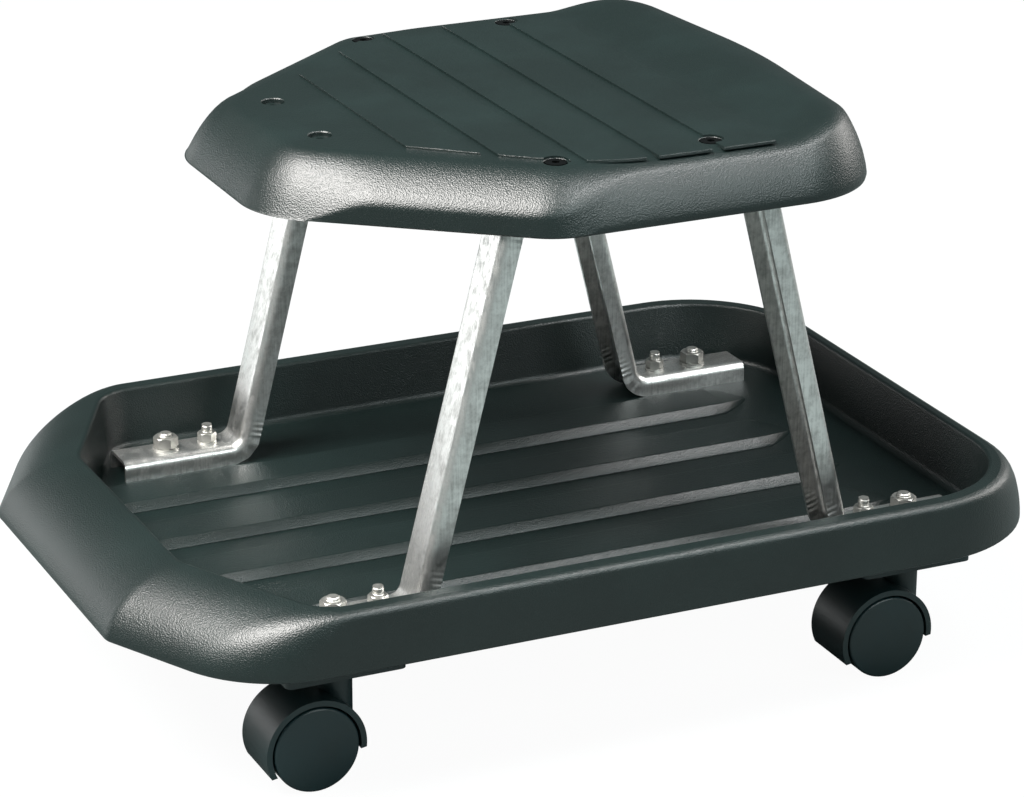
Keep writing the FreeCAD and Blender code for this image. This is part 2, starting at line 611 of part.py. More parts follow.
def make_housing(label, end, side):
    """Caster housing: hood over both wheels, a web between them and a neck round the stem."""
    housing = new_body("caster_housing_" + label)
    sketch = new_sketch(housing, "hood_" + label, "XZ_Plane")
    circle(sketch, "-dims.caster_trail", "dims.wheel_radius", HOOD_OUTER)
    extrude(housing, "Pad", sketch, "dims.hood_half_width * 2", both=True)
    sketch = new_sketch(housing, "neck_" + label, "XY_Plane", NECK_TOP)
    circle(sketch, "0", "0", "dims.neck_radius")
    extrude(housing, "Pad", sketch, "%s - dims.wheel_radius" % NECK_TOP, reverse=True)

    sketch = new_sketch(housing, "hood_opening_" + label, "XZ_Plane")
    back = "-dims.caster_trail - %s - dims.overrun" % HOOD_OUTER
    front = "-dims.caster_trail + %s + dims.overrun" % HOOD_OUTER
    polygon(sketch, ((back, "-dims.overrun"), (front, "-dims.overrun"),
                     (front, "dims.wheel_radius - dims.hood_front_drop"),
                     (back, "dims.wheel_radius - dims.hood_back_drop")))
    extrude(housing, "Pocket", sketch, "dims.hood_half_width * 4", both=True)
    for name, offset, outwards in (("rear", "-dims.web_half", False), ("front", "dims.web_half", True)):
        sketch = new_sketch(housing, "wheel_room_%s_%s" % (name, label), "XZ_Plane", offset)
        circle(sketch, "-dims.caster_trail", "dims.wheel_radius", HOOD_INNER)
        extrude(housing, "Pocket", sketch, "dims.hood_half_width * 2", reverse=outwards)
    sketch = new_sketch(housing, "bore_" + label, "XY_Plane", NECK_TOP)
    circle(sketch, "0", "0", "(dims.spigot_radius + dims.running_gap)")
    extrude(housing, "Pocket", sketch, "%s - dims.spigot_low + dims.spigot_end_gap" % NECK_TOP)
    room = "(dims.spigot_radius + dims.ring_stand + dims.ring_room)"
    room_low = "(dims.ring_low - dims.ring_room)"
    room_high = "(dims.ring_low + dims.ring_thick + 2 * dims.ring_gap + dims.ring_room)"
    room_outline = (("0", room_low), (room, room_low), (room, room_high), ("0", room_high))
    turned(housing, "ring_room_" + label, room_outline, kind="Groove")
    sketch = new_sketch(housing, "axle_hole_" + label, "XZ_Plane")
    circle(sketch, "-dims.caster_trail", "dims.wheel_radius", "dims.axle_radius + dims.axle_seat_gap")
    extrude(housing, "Pocket", sketch, "dims.web_half * 4", both=True)
    place(housing, "dims.leg_middle + %d * dims.stem_place" % end, "%d * dims.leg_lane" % side)
    return housing


def make_axle(label, end, side):
    axle = doc.addObject("Part::Cylinder", "axle_" + label)
    half = "(%s - dims.wheel_cap - dims.axle_end_gap)" % WHEEL_OUTER
    bind(axle, Radius="dims.axle_radius", Height="2 * " + half)
    axle.Placement = Placement(Vector(), Rotation(Vector(1, 0, 0), QUARTER_TURN))
    bind(axle, Placement__Base__x="dims.leg_middle + %d * dims.stem_place - dims.caster_trail" % end,
         Placement__Base__y="%d * dims.leg_lane + %s" % (side, half), Placement__Base__z="dims.wheel_radius")
    return axle


def make_wheel(label, end, side, facing):
    """One plain disc of a twin wheel with a fine ring round its outer face and a blind bore."""
    name = "wheel_%s_%s" % (label, "rear" if facing > 0 else "front")
    wheel = new_body(name)
    bore = "(dims.axle_radius + dims.running_gap)"
    ring = "(dims.wheel_ring_radius + dims.wheel_ring_width)"
    ring_floor = "(%s - dims.wheel_ring_depth)" % WHEEL_OUTER
    cap_floor = "(%s - dims.wheel_cap)" % WHEEL_OUTER
    turned(wheel, "disc_" + name, (
        (bore, WHEEL_INNER), ("dims.wheel_radius", WHEEL_INNER), ("dims.wheel_radius", WHEEL_OUTER),
        (ring, WHEEL_OUTER), (ring, ring_floor), ("dims.wheel_ring_radius", ring_floor),
        ("dims.wheel_ring_radius", WHEEL_OUTER), ("0", WHEEL_OUTER), ("0", cap_floor), (bore, cap_floor)),
        role="XY_Plane")
    dress(wheel, "Fillet", lambda edge: circular(edge, value("dims.wheel_radius")), Radius="dims.wheel_round")
    place(wheel, "dims.leg_middle + %d * dims.stem_place - dims.caster_trail" % end,
          "%d * dims.leg_lane" % side, "dims.wheel_radius", turn=0 if facing > 0 else HALF_TURN)
    return wheel


def cylinder(label, radius, height):
    shape = doc.addObject("Part::Cylinder", label)
    bind(shape, Radius=radius, Height=height)
    return shape


def hexagon(label, across, height):
    shape = doc.addObject("Part::Prism", label)
    shape.Polygon = 6
    bind(shape, Circumradius="%s / sqrt(3)" % across, Height=height)
    return shape


def boolean(kind, label, base, tool):
    shape = doc.addObject("Part::" + kind, label)
    shape.Base = base
    shape.Tool = tool
    return shape


def washer(label, radius, bore):
    """A washer standing on Z zero."""
    hole = cylinder(label + "_hole", bore + " + dims.hole_clearance", "dims.washer_thick")
    return boolean("Cut", label, cylinder(label + "_disc", radius, "dims.washer_thick"), hole)


def nut(label, across, height, bore):
    """A hexagon nut standing on Z zero, its corners turned off by a cone at the top."""
    cone = doc.addObject("Part::Cone", label + "_cone")
    bind(cone, Radius1="%s / sqrt(3) + %s" % (across, height),
         Radius2="%s / 2 * dims.nut_bevel_share" % across, Height=height)
    body = boolean("Common", label + "_body", hexagon(label + "_hexagon", across, height), cone)
    return boolean("Cut", label, body, cylinder(label + "_thread", bore, height))


def foot_bolt(label):
    """A hexagon bolt with the underside of its head at Z zero and its shank upwards."""
    length = "(%s + dims.washer_thick + dims.bolt_nut_high + dims.bolt_top_past_nut" % FOOT_TOP
    length += " - dims.block_low - dims.block_sink_deep)"
    head = hexagon(label + "_head", "dims.bolt_head_across", "dims.bolt_head_high")
    bind(head, Placement__Base__z="-dims.bolt_head_high")
    return boolean("Fuse", label, head, cylinder(label + "_shank", "dims.bolt_radius", length))


def seat_bolt(label):
    """A socket bolt with the underside of its head at Z zero and its shank downwards."""
    length = "(dims.seat_top - dims.seat_bolt_head_high - dims.leg_head_top + dims.leg_sheet"
    length += " + dims.washer_thick + dims.bolt_nut_high + dims.thread_bevel)"
    shank = cylinder(label + "_shank", "dims.bolt_radius", length)
    bind(shank, Placement__Base__z="-" + length)
    head = cylinder(label + "_head", "dims.seat_bolt_head_radius", "dims.seat_bolt_head_high")
    socket = hexagon(label + "_socket", "dims.seat_bolt_socket_across", "dims.seat_bolt_head_high")
    bind(socket, Placement__Base__z="dims.seat_bolt_head_high - dims.seat_bolt_socket_deep")
    return boolean("Cut", label, boolean("Fuse", label + "_blank", head, shank), socket)


def ring(label):
    """Spring ring in the spigot's groove, standing on Z zero."""
    inner = "dims.spigot_radius - dims.ring_depth + dims.ring_gap"
    outer = cylinder(label + "_disc", "dims.spigot_radius + dims.ring_stand", "dims.ring_thick")
    return boolean("Cut", label, outer, cylinder(label + "_hole", inner, "dims.ring_thick"))


def make_group(label, make, place_x, z):
    """One fastener at each leg, all in one node as separate solids."""
    group = doc.addObject("Part::Compound", label)
    members = []
    for side_name, side in SIDES:
        for end_name, end in ENDS:
            member = make("%s_%s_%s" % (label, side_name, end_name))
            place(member, "dims.leg_middle + %d * %s" % (end, place_x), "%d * dims.leg_lane" % side, z)
            members.append(member)
    group.Links = members
    return group


def stem_washer(label):
    return washer(label, "dims.stem_washer_radius", "dims.stem_radius")


def bolt_washer(label):
    return washer(label, "dims.bolt_washer_radius", "dims.bolt_radius")


def stem_nut(label):
    return nut(label, "dims.stem_nut_across", "dims.stem_nut_high", "dims.stem_radius")


def bolt_nut(label):
    return nut(label, "dims.bolt_nut_across", "dims.bolt_nut_high", "dims.bolt_radius")


def make_fasteners():
    ring_seat = "(dims.ring_low + dims.ring_gap)"
    bolt_seat = "(dims.block_low + dims.block_sink_deep)"
    nut_seat = "(%s + dims.washer_thick)" % FOOT_TOP
    sink_floor = "(dims.seat_top - dims.seat_bolt_head_high)"
    washer_low = "(dims.leg_head_top - dims.leg_sheet - dims.washer_thick)"
    return [
        make_group("stem_rings", ring, "dims.stem_place", ring_seat),
        make_group("stem_washers", stem_washer, "dims.stem_place", FOOT_TOP),
        make_group("stem_nuts", stem_nut, "dims.stem_place", nut_seat),
        make_group("foot_bolts", foot_bolt, "dims.foot_bolt_place", bolt_seat),
        make_group("foot_washers", bolt_washer, "dims.foot_bolt_place", FOOT_TOP),
        make_group("foot_nuts", bolt_nut, "dims.foot_bolt_place", nut_seat),
        make_group("seat_bolts", seat_bolt, "dims.seat_bolt_place", sink_floor),
        make_group("seat_washers", bolt_washer, "dims.seat_bolt_place", washer_low),
        make_group("seat_nuts", bolt_nut, "dims.seat_bolt_place", "%s - dims.bolt_nut_high" % washer_low),
    ]


pieces = make_tray() + make_seat() + make_fasteners()
for side_name, side in SIDES:
    for end_name, end in ENDS:
        label = "%s_%s" % (side_name, end_name)
        for make in (make_leg, make_block, make_stem, make_housing, make_axle):
            pieces.append(make(label, end, side))
        for facing in (-1, 1):
            pieces.append(make_wheel(label, end, side, facing))
doc.recompute()

for thing in doc.Objects:
    if "Invalid" in thing.State or "Error" in thing.State:
        raise RuntimeError("%s failed: %s" % (thing.Label, thing.State))
for piece in pieces:
    if piece.Shape.isNull() or not piece.Shape.isValid():
        raise RuntimeError(piece.Label + " has no valid shape")

os.makedirs("parts", exist_ok=True)
for piece in pieces:
    piece.Shape.exportStep("parts/%s.step" % piece.Label)
    print(piece.Label, len(piece.Shape.Solids), round(piece.Shape.Volume), piece.Shape.BoundBox)
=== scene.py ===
import json
import math

import bmesh
import bpy
from bpy.props import FloatProperty, IntProperty, PointerProperty, StringProperty
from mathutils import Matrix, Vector


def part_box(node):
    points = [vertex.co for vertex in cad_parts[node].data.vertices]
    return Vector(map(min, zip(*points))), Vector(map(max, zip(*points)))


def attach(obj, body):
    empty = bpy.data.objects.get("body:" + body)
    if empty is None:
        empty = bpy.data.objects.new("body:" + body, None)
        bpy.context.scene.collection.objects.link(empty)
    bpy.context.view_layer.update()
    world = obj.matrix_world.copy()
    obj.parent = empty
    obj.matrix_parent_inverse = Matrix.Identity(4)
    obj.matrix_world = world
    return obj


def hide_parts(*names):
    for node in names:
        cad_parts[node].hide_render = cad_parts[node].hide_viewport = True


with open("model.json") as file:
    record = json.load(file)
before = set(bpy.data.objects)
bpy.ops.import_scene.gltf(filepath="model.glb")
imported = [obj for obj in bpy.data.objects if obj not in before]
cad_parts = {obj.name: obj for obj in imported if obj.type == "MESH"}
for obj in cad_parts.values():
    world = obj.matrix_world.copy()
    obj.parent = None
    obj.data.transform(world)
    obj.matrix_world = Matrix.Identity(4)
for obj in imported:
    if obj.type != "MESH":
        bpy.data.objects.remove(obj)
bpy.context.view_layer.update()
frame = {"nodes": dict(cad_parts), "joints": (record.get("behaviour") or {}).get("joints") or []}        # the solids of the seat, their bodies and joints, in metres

bl_info = {
    "name": "Creeper Seat",
    "version": (1, 0, 0),
    "blender": (4, 5, 0),
    "location": "View3D > Sidebar > Creeper Seat",
    "description": "Dresses a rolling workshop seat: tray, seat, channel legs, fastenings and casters",
    "category": "Object",
}

MM = 0.001
CHASSIS = "chassis"
LEVEL_SHARE = 0.99999       # upright share of the normal of a face that counts as level
CORNER_SHARE = 0.8          # how far the tail corners tighten with the inset of their loop
MERGE = 1e-6                # distance within which points become one
SIDES = (("front", -1), ("rear", 1))
ENDS = (("left", -1), ("right", 1))
CORNERS = tuple("%s_%s" % (side, end) for side, _ in SIDES for end, _ in ENDS)
TRAY_LOW, TRAY_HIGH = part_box("tray")
SEAT_LOW, SEAT_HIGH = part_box("seat_shell")
LEG_LOW, LEG_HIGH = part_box("leg_front_left")
SWIVELS = [Vector(joint["pos_m"]) for joint in frame["joints"] if joint["name"].startswith("swivel_")]
MIDDLE_X = sum(point.x for point in SWIVELS) / len(SWIVELS)
LANE = max(point.y for point in SWIVELS)
STEM_REACH = max(point.x for point in SWIVELS) - MIDDLE_X


def size(name, millimetres, description):
    """A length that a user may change, given here in millimetres."""
    return FloatProperty(name=name, description=description, default=millimetres * MM, min=0.0, unit="LENGTH")


def bearing(name, degrees, description):
    """An angle that a user may change, given here in degrees."""
    return FloatProperty(name=name, description=description, default=math.radians(degrees), subtype="ANGLE")


def colour(name, default, description):
    """A colour that a user may change, as sRGB hex."""
    return StringProperty(name=name, description=description, default=default)


class TraySizes(bpy.types.PropertyGroup):
    end_half: size("End half width", 95.5, "Half the length of the end edge between the cut corners")
    cut_angle: bearing("Cut angle", 26.8, "Turn of the cut corners from the end edge")
    skirt_low: size("Skirt low", 86, "Height of the skirt's lower edge")
    shoulder_width: size("Shoulder width", 45, "Width of the rolled shoulder at the end")
    shoulder_edge: size("Shoulder edge", 2.5, "Upright edge under the rolled shoulder")
    shoulder_start: bearing("Shoulder start", 12, "Lean of the shoulder's roll at its lower edge")
    shoulder_turn: bearing("Shoulder turn", 79, "Turn of the shoulder's roll up to its crest")
    side_lean: size("Side lean", 2, "Lean of the long sides up to the rim")
    side_round: size("Side round", 3.5, "Rounding of the rim along the sides")
    tail_swell: size("Tail swell", 9, "How far the rolled tail stands out past the solid")
    tail_roll: size("Tail roll", 18, "Width of the roll at the square end")
    rim_width: size("Rim width", 14, "Width of the rim along the sides")
    tail_width: size("Tail width", 23, "Width of the roll and rim at the square end")
    lip_round: size("Lip round", 2, "Rounding of the rim's inner edge")
    draft: size("Draft", 3, "Lean of the inner wall from the rim to the floor")
    floor_round: size("Floor round", 4, "Rounding between the inner wall and the floor")
    floor_top: size("Floor top", 84, "Height of the floor")
    wall: size("Wall", 3, "Thickness of the moulding")
    end_round: size("End round", 20, "Rounding at the rim between end and cut corner")
    end_round_low: size("Lower end round", 12, "Rounding at the skirt between end and cut corner")
    cut_round: size("Cut round", 26, "Rounding at the rim between cut corner and side")
    cut_round_low: size("Lower cut round", 72, "Rounding at the skirt between cut corner and side")
    tail_corner: size("Tail corner", 88, "Rounding of the corners at the square end")
    ridge_pitch: size("Ridge pitch", 60, "Distance between the ridges of the floor")
    ridge_width: size("Ridge width", 39, "Width of a ridge at the floor")
    ridge_height: size("Ridge height", 5.5, "Height of a ridge")
    ridge_start: size("Ridge start", 205, "Start of the ridges, measured towards the shoulder")
    ridge_end: size("Ridge end", 216, "End of the ridges, measured towards the square end")
    ridge_round: size("Ridge round", 1.6, "Rounding of the ridges' edges")
    ridge_count: IntProperty(name="Ridges", description="Number of ridges on the floor", default=4, min=1)


class SeatSizes(bpy.types.PropertyGroup):
    nose_swell: size("Nose swell", 3, "How far the domed nose stands out past the solid")
    nose_half: size("Nose half width", 65, "Half the width of the nose before rounding")
    cut_end: size("Cut end", 39, "Where the slanted sides end, measured towards the nose")
    tail: size("Tail", 184, "Reach of the bowed tail before rounding")
    tail_bow: size("Tail bow", 15, "How far the tail's corners fall back from its middle")
    nose_round: size("Nose round", 54, "Rounding of the nose corners")
    side_round: size("Side round", 38, "Rounding between slanted and straight sides")
    tail_round: size("Tail round", 63, "Rounding of the tail corners")
    bow_round: size("Bow round", 400, "Rounding of the tail's middle")
    top: size("Top", 336, "Height of the flat top")
    crease: size("Crease", 317, "Height of the crease round the nose")
    side_crease: size("Side crease", 330, "Height to which the crease climbs on the straight sides")
    crease_inset: size("Crease inset", 0.6, "Inset of the crease on the slanted sides and of the lower edge")
    nose_edge: size("Nose edge", 0.4, "Height of the crease above the lower edge at the nose")
    nose_start: size("Nose start", 120, "Where the crease begins to sink, measured towards the nose")
    nose_run: size("Nose run", 34, "Length over which the crease sinks to the lower edge")
    side_start: size("Side start", 55, "Where the sides begin to straighten, measured towards the nose")
    side_run: size("Side run", 75, "Length over which the sides straighten")
    side_lean: size("Side lean", 11, "Lean of the straight sides up to the crease")
    bevel_reach: size("Bevel reach", 31, "Where the rounded bevel has become the flat top")
    spine_half: size("Spine half length", 70, "Half the line along the middle in which the top's loops end")
    lip_rise: size("Lip rise", 8, "Rise of the tail above the flat top")
    lip_start: size("Lip start", 104, "Where the tail starts to rise")
    lip_run: size("Lip run", 46, "Length over which the tail rises")
    wall: size("Wall", 3.2, "Thickness of the moulding")
    slat_first: size("First slat", 88, "Edge of the first slat, measured towards the nose")
    slat_pitch: size("Slat pitch", 39, "Distance from slat to slat")
    slat_width: size("Slat width", 31.5, "Width of a slat")
    slat_rise: size("Slat rise", 1.2, "Height of a slat above the top")
    slat_reach: size("Slat reach", 150, "Half the length of the longest slats")
    slat_rear_reach: size("Slat rear reach", 138, "Most that a slat reaches towards the rear edge")
    slat_nose_reach: size("Slat nose reach", 77, "Half the length of the first slat at its short edge")
    slat_count: IntProperty(name="Slats", description="Number of slats", default=5, min=1)
    sink_radius: size("Sink radius", 6.6, "Radius of the sunk bolt holes")
    sink_depth: size("Sink depth", 3.4, "Depth of the sunk bolt holes")
    bolt_place: size("Bolt place", 46.8, "Distance of the seat bolts from the middle between the legs")
    nose_hole_x: size("Nose hole place", 121, "Place of the open holes, measured towards the nose")
    nose_hole_y: size("Nose hole spread", 35, "Half the distance between the open holes")
    hole_radius: size("Hole radius", 3.2, "Radius of the bolt holes")
    boss_radius: size("Boss radius", 14, "Radius of the bosses under the top")
    boss_low: size("Boss low", 321.5, "Lower face of the bosses")


class LegSizes(bpy.types.PropertyGroup):
    width: size("Width", 28, "Width of the channel's web")
    depth: size("Depth", 12, "Depth of the channel's flanges")
    sheet: size("Sheet", 2, "Thickness of the sheet")
    corner: size("Corner", 5, "Outer rounding between web and flange")
    foot_bend: size("Foot bend", 136, "Place of the foot's bend from the middle between the legs")
    head_bend: size("Head bend", 79.4, "Place of the head's bend from the middle between the legs")
    foot_top: size("Foot top", 96, "Height of the foot's upper face")
    foot_round: size("Foot round", 7, "Inner radius of the foot's bend")
    head_round: size("Head round", 17, "Outer radius of the head's bend")
    ripple: size("Ripple", 0.4, "Height of the wrinkles that bending left in the flanges")
    ripple_pitch: size("Ripple pitch", 3.4, "Distance between the wrinkles")
    ripple_run: size("Ripple run", 30, "Length of the wrinkled stretch beside each bend")


class FasteningSizes(bpy.types.PropertyGroup):
    washer_thick: size("Washer thickness", 1.6, "Thickness of the washers")
    stem_washer: size("Stem washer", 8, "Radius of the washers on the caster stems")
    stem_nut: size("Stem nut", 13, "Width of the stem nuts across flats")
    stem_nut_high: size("Stem nut height", 6.5, "Height of the stem nuts")
    stem_thread: size("Stem thread", 4, "Radius of the stem thread")
    stem_past: size("Stem end", 2.2, "Length of stem thread above the nut")
    stem_pitch: size("Stem pitch", 1.25, "Pitch of the stem thread")
    bolt_washer: size("Bolt washer", 6, "Radius of the washers on the bolts")
    bolt_nut: size("Bolt nut", 10, "Width of the bolt nuts across flats")
    bolt_nut_high: size("Bolt nut height", 5, "Height of the bolt nuts")
    bolt_thread: size("Bolt thread", 3, "Radius of the bolt thread")
    bolt_past: size("Bolt end", 5, "Length of bolt thread above the nut")
    bolt_pitch: size("Bolt pitch", 1.25, "Pitch of the bolt thread")
    nut_turn: bearing("Nut turn", -24, "Turn of the nuts from the tray's sides")
    bolt_reach: size("Bolt reach", 152.2, "Distance of the foot bolts from the middle between the legs")


class WheelSizes(bpy.types.PropertyGroup):
    edge_round: size("Edge round", 1.6, "Rounding of the wheels' edges")
    bore_gap: size("Bore gap", 0.1, "Gap between a wheel and its axle")


class Finishes(bpy.types.PropertyGroup):
    moulding: colour("Moulding", "#071312", "Black of the grained tray and seat")
    moulding_bloom: colour("Moulding bloom", "#0D1A19", "Paler bloom on the grained plastic")
    caster: colour("Caster", "#0B2224", "Black of the caster housings and blocks")
    wheel: colour("Wheel", "#0B2326", "Black of the wheels")
    zinc: colour("Zinc", "#EAEAE8", "Pale tone of the zinc-plated sheet")
    zinc_stain: colour("Zinc stain", "#A6A7A5", "Dull tone of the zinc-plated sheet")
    fastening: colour("Fastening", "#B4B4B0", "Bright zinc of nuts, washers and threads")
    black_oxide: colour("Black oxide", "#1B1D1E", "Blackened steel of the sunk bolts")
    floor: colour("Floor", "#626A6A", "Studio floor under the white that the eye sees")


class StageSizes(bpy.types.PropertyGroup):
    eye_x: FloatProperty(name="Eye X", description="Camera place", default=-0.8589, unit="LENGTH")
    eye_y: FloatProperty(name="Eye Y", description="Camera place", default=-1.8615, unit="LENGTH")
    eye_z: FloatProperty(name="Eye Z", description="Camera place", default=0.9399, unit="LENGTH")
    yaw: bearing("Yaw", 24.01, "Camera turn to the right")
    pitch: bearing("Pitch", 21.14, "Camera tilt down")
    roll: bearing("Roll", 0.13, "Camera roll")
    lens: FloatProperty(name="Lens", description="Focal length in millimetres", default=132.0, unit="CAMERA")
    shift_x: FloatProperty(name="Shift X", description="Shift of the frame", default=0.0665)
    shift_y: FloatProperty(name="Shift Y", description="Shift of the frame", default=0.0042)
    floor_half: size("Floor half width", 6000, "Half the width of the studio floor")


def hex_to_linear(text):
    """Linear RGBA of an sRGB hex colour."""
    channels = [int(text[start:start + 2], 16) / 255 for start in (1, 3, 5)]
    linear = [c / 12.92 if c <= 0.04045 else ((c + 0.055) / 1.055) ** 2.4 for c in channels]
    return (*linear, 1.0)


def add(tree, kind, settings=(), links=()):
    """One node of a tree with its settings, by property or input name, and its incoming links."""
    item = tree.nodes.new(kind)
    for name, setting in dict(settings).items():
        if isinstance(name, int) or name in item.inputs:
            item.inputs[name].default_value = setting
        else:
            setattr(item, name, setting)
    for name, socket in dict(links).items():
        tree.links.new(socket, item.inputs[name])
    return item


def new_material(name):
    """An empty material and its tree, with object coordinates ready."""
    material = bpy.data.materials.new(name)
    material.use_nodes = True
    tree = material.node_tree
    tree.nodes.clear()
    place = add(tree, "ShaderNodeTexCoord").outputs["Object"]
    return material, tree, place


def end_material(tree, shader):
    """Send a shader to the output of its material."""
    add(tree, "ShaderNodeOutputMaterial", links={"Surface": shader.outputs[0]})


def grained_plastic(name, base, bloom, grain, relief, roughness):
    """Moulded plastic: the grain of its spark-eroded mould breaks up the soft highlights.

    The grain is drawn at its real spacing; the bloom is the pale haze that handling leaves.
    """
    haze_size = 71.43 * MM
    fine_share = 0.45
    material, tree, place = new_material(name)
    wander = add(tree, "ShaderNodeTexNoise", {"Scale": 0.6 / grain, "Detail": 2.0}, {"Vector": place})
    bend = add(tree, "ShaderNodeMix", {"data_type": "VECTOR", "Factor": grain * 0.5},
               {4: place, 5: wander.outputs["Color"]})
    cells = add(tree, "ShaderNodeTexVoronoi", {"feature": "SMOOTH_F1", "Scale": 1 / grain, "Smoothness": 0.6},
                {"Vector": bend.outputs[1]})
    fine = add(tree, "ShaderNodeTexNoise", {"Scale": 1.7 / grain, "Detail": 3.0}, {"Vector": place})
    height = add(tree, "ShaderNodeMath", {"operation": "MULTIPLY_ADD", 1: fine_share},
                 {0: fine.outputs["Fac"], 2: cells.outputs["Distance"]})
    bump = add(tree, "ShaderNodeBump", {"Strength": 1.0, "Distance": relief}, {"Height": height.outputs[0]})
    haze = add(tree, "ShaderNodeTexNoise", {"Scale": 1 / haze_size, "Detail": 5.0, "Roughness": 0.6},
               {"Vector": place})
    haze_share = add(tree, "ShaderNodeMapRange", {"From Min": 0.42, "From Max": 0.75},
                     {"Value": haze.outputs["Fac"]})
    tone = add(tree, "ShaderNodeMix", {"data_type": "RGBA", 6: hex_to_linear(base), 7: hex_to_linear(bloom)},
               {"Factor": haze_share.outputs[0]})
    gloss = add(tree, "ShaderNodeMapRange", {"To Min": roughness - 0.05, "To Max": roughness + 0.07},
                {"Value": fine.outputs["Fac"]})
    shader = add(tree, "ShaderNodeBsdfPrincipled", {"IOR": 1.5, "Specular IOR Level": 0.55},
                 {"Base Color": tone.outputs[2], "Roughness": gloss.outputs[0], "Normal": bump.outputs[0]})
    end_material(tree, shader)
    return material


def zinc_sheet(name, base, stain):
    """Zinc-plated steel sheet: cloudy spangle, dull stains and rolling lines along the channel.

    Real rolling lines are finer; these are drawn as far apart as they need to show.
    """
    spangle = 7.143 * MM
    line_gap = 1.1111 * MM
    line_length = 25 * MM
    material, tree, place = new_material(name)
    cloud = add(tree, "ShaderNodeTexNoise", {"Scale": 1 / spangle, "Detail": 6.0, "Roughness": 0.65},
                {"Vector": place})
    stretch = add(tree, "ShaderNodeMapping", {"Scale": (1 / line_gap, 1 / line_gap, 1 / line_length)},
                  {"Vector": place})
    lines = add(tree, "ShaderNodeTexNoise", {"Scale": 1.0, "Detail": 3.0}, {"Vector": stretch.outputs[0]})
    both = add(tree, "ShaderNodeMath", {"operation": "MULTIPLY_ADD", 1: 0.5},
               {0: lines.outputs["Fac"], 2: cloud.outputs["Fac"]})
    share = add(tree, "ShaderNodeMapRange", {"From Min": 0.62, "From Max": 0.98}, {"Value": both.outputs[0]})
    tone = add(tree, "ShaderNodeMix", {"data_type": "RGBA", 6: hex_to_linear(base), 7: hex_to_linear(stain)},
               {"Factor": share.outputs[0]})
    gloss = add(tree, "ShaderNodeMapRange", {"To Min": 0.3, "To Max": 0.52}, {"Value": share.outputs[0]})
    bump = add(tree, "ShaderNodeBump", {"Strength": 0.35, "Distance": 0.06 * MM}, {"Height": both.outputs[0]})
    shader = add(tree, "ShaderNodeBsdfPrincipled", {"Metallic": 1.0},
                 {"Base Color": tone.outputs[2], "Roughness": gloss.outputs[0], "Normal": bump.outputs[0]})
    end_material(tree, shader)
    return material


def bright_metal(name, base, roughness, spacing):
    """Turned steel, plated or blackened: even satin faces with faint tool marks.

    Real tool marks are finer; these are drawn as far apart as they need to show.
    """
    dull_share = 0.8
    material, tree, place = new_material(name)
    marks = add(tree, "ShaderNodeTexNoise", {"Scale": 1 / spacing, "Detail": 4.0}, {"Vector": place})
    gloss = add(tree, "ShaderNodeMapRange", {"To Min": roughness - 0.08, "To Max": roughness + 0.1},
                {"Value": marks.outputs["Fac"]})
    dark = tuple(dull_share * channel for channel in hex_to_linear(base)[:3]) + (1.0,)
    tone = add(tree, "ShaderNodeMix", {"data_type": "RGBA", 6: hex_to_linear(base), 7: dark},
               {"Factor": marks.outputs["Fac"]})
    bump = add(tree, "ShaderNodeBump", {"Strength": 0.1, "Distance": 0.02 * MM},
               {"Height": marks.outputs["Fac"]})
    shader = add(tree, "ShaderNodeBsdfPrincipled", {"Metallic": 1.0},
                 {"Base Color": tone.outputs[2], "Roughness": gloss.outputs[0], "Normal": bump.outputs[0]})
    end_material(tree, shader)
    return material


def stock(name):
    """The finish of that name, made when it is first asked for."""
    made = bpy.data.materials.get(name)
    if made:
        return made
    tones = bpy.context.scene.creeper_finishes
    bloom = tones.moulding_bloom
    # moulded with a deep grain, so that bright edges break up into glints
    if name == "leather_grain_polypropylene":
        return grained_plastic(name, tones.moulding, bloom, grain=0.8 * MM, relief=0.17 * MM, roughness=0.36)
    # moulded with a shallow grain, which gives a satin black
    if name == "fine_grain_nylon":
        return grained_plastic(name, tones.caster, bloom, grain=0.7 * MM, relief=0.05 * MM, roughness=0.42)
    # moulded almost smooth, so that the discs shine evenly
    if name == "smooth_wheel_nylon":
        return grained_plastic(name, tones.wheel, bloom, grain=0.8 * MM, relief=0.03 * MM, roughness=0.4)
    # bent from plated sheet: cloudy silver with dull stains
    if name == "zinc_plated_sheet":
        return zinc_sheet(name, tones.zinc, tones.zinc_stain)
    # turned and plated: satin silver that shows each flat of a nut
    if name == "bright_zinc_plate":
        return bright_metal(name, tones.fastening, roughness=0.46, spacing=2.5 * MM)
    # turned and blackened: near black with a faint sheen
    if name == "black_oxide_steel":
        return bright_metal(name, tones.black_oxide, roughness=0.45, spacing=0.6 * MM)
    raise RuntimeError("no finish named " + name)


def new_piece(name, mesh, finish, nodes=(), body=CHASSIS, sharp=32):
    """Put a mesh into the scene as a finished piece that rides on a body and stands for solids.

    Edges that turn by more than sharp, in degrees, stay sharp, and level faces stay flat.
    """
    piece = bpy.data.objects.new(name, mesh)
    bpy.context.scene.collection.objects.link(piece)
    mesh.materials.clear()
    mesh.materials.append(stock(finish))
    mesh.shade_smooth()
    mesh.set_sharp_from_angle(angle=math.radians(sharp))
    for face in mesh.polygons:
        if abs(face.normal.z) > LEVEL_SHARE:
            face.use_smooth = False
    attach(piece, body)
    if nodes:
        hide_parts(*nodes)
    return piece


def mesh_of(name, bm):
    """A plain mesh from a bmesh, merged, with its faces outwards."""
    bmesh.ops.remove_doubles(bm, verts=bm.verts, dist=MERGE)
    bmesh.ops.dissolve_degenerate(bm, edges=bm.edges, dist=MERGE)
    bmesh.ops.recalc_face_normals(bm, faces=bm.faces)
    mesh = bpy.data.meshes.new(name)
    bm.to_mesh(mesh)
    bm.free()
    return mesh


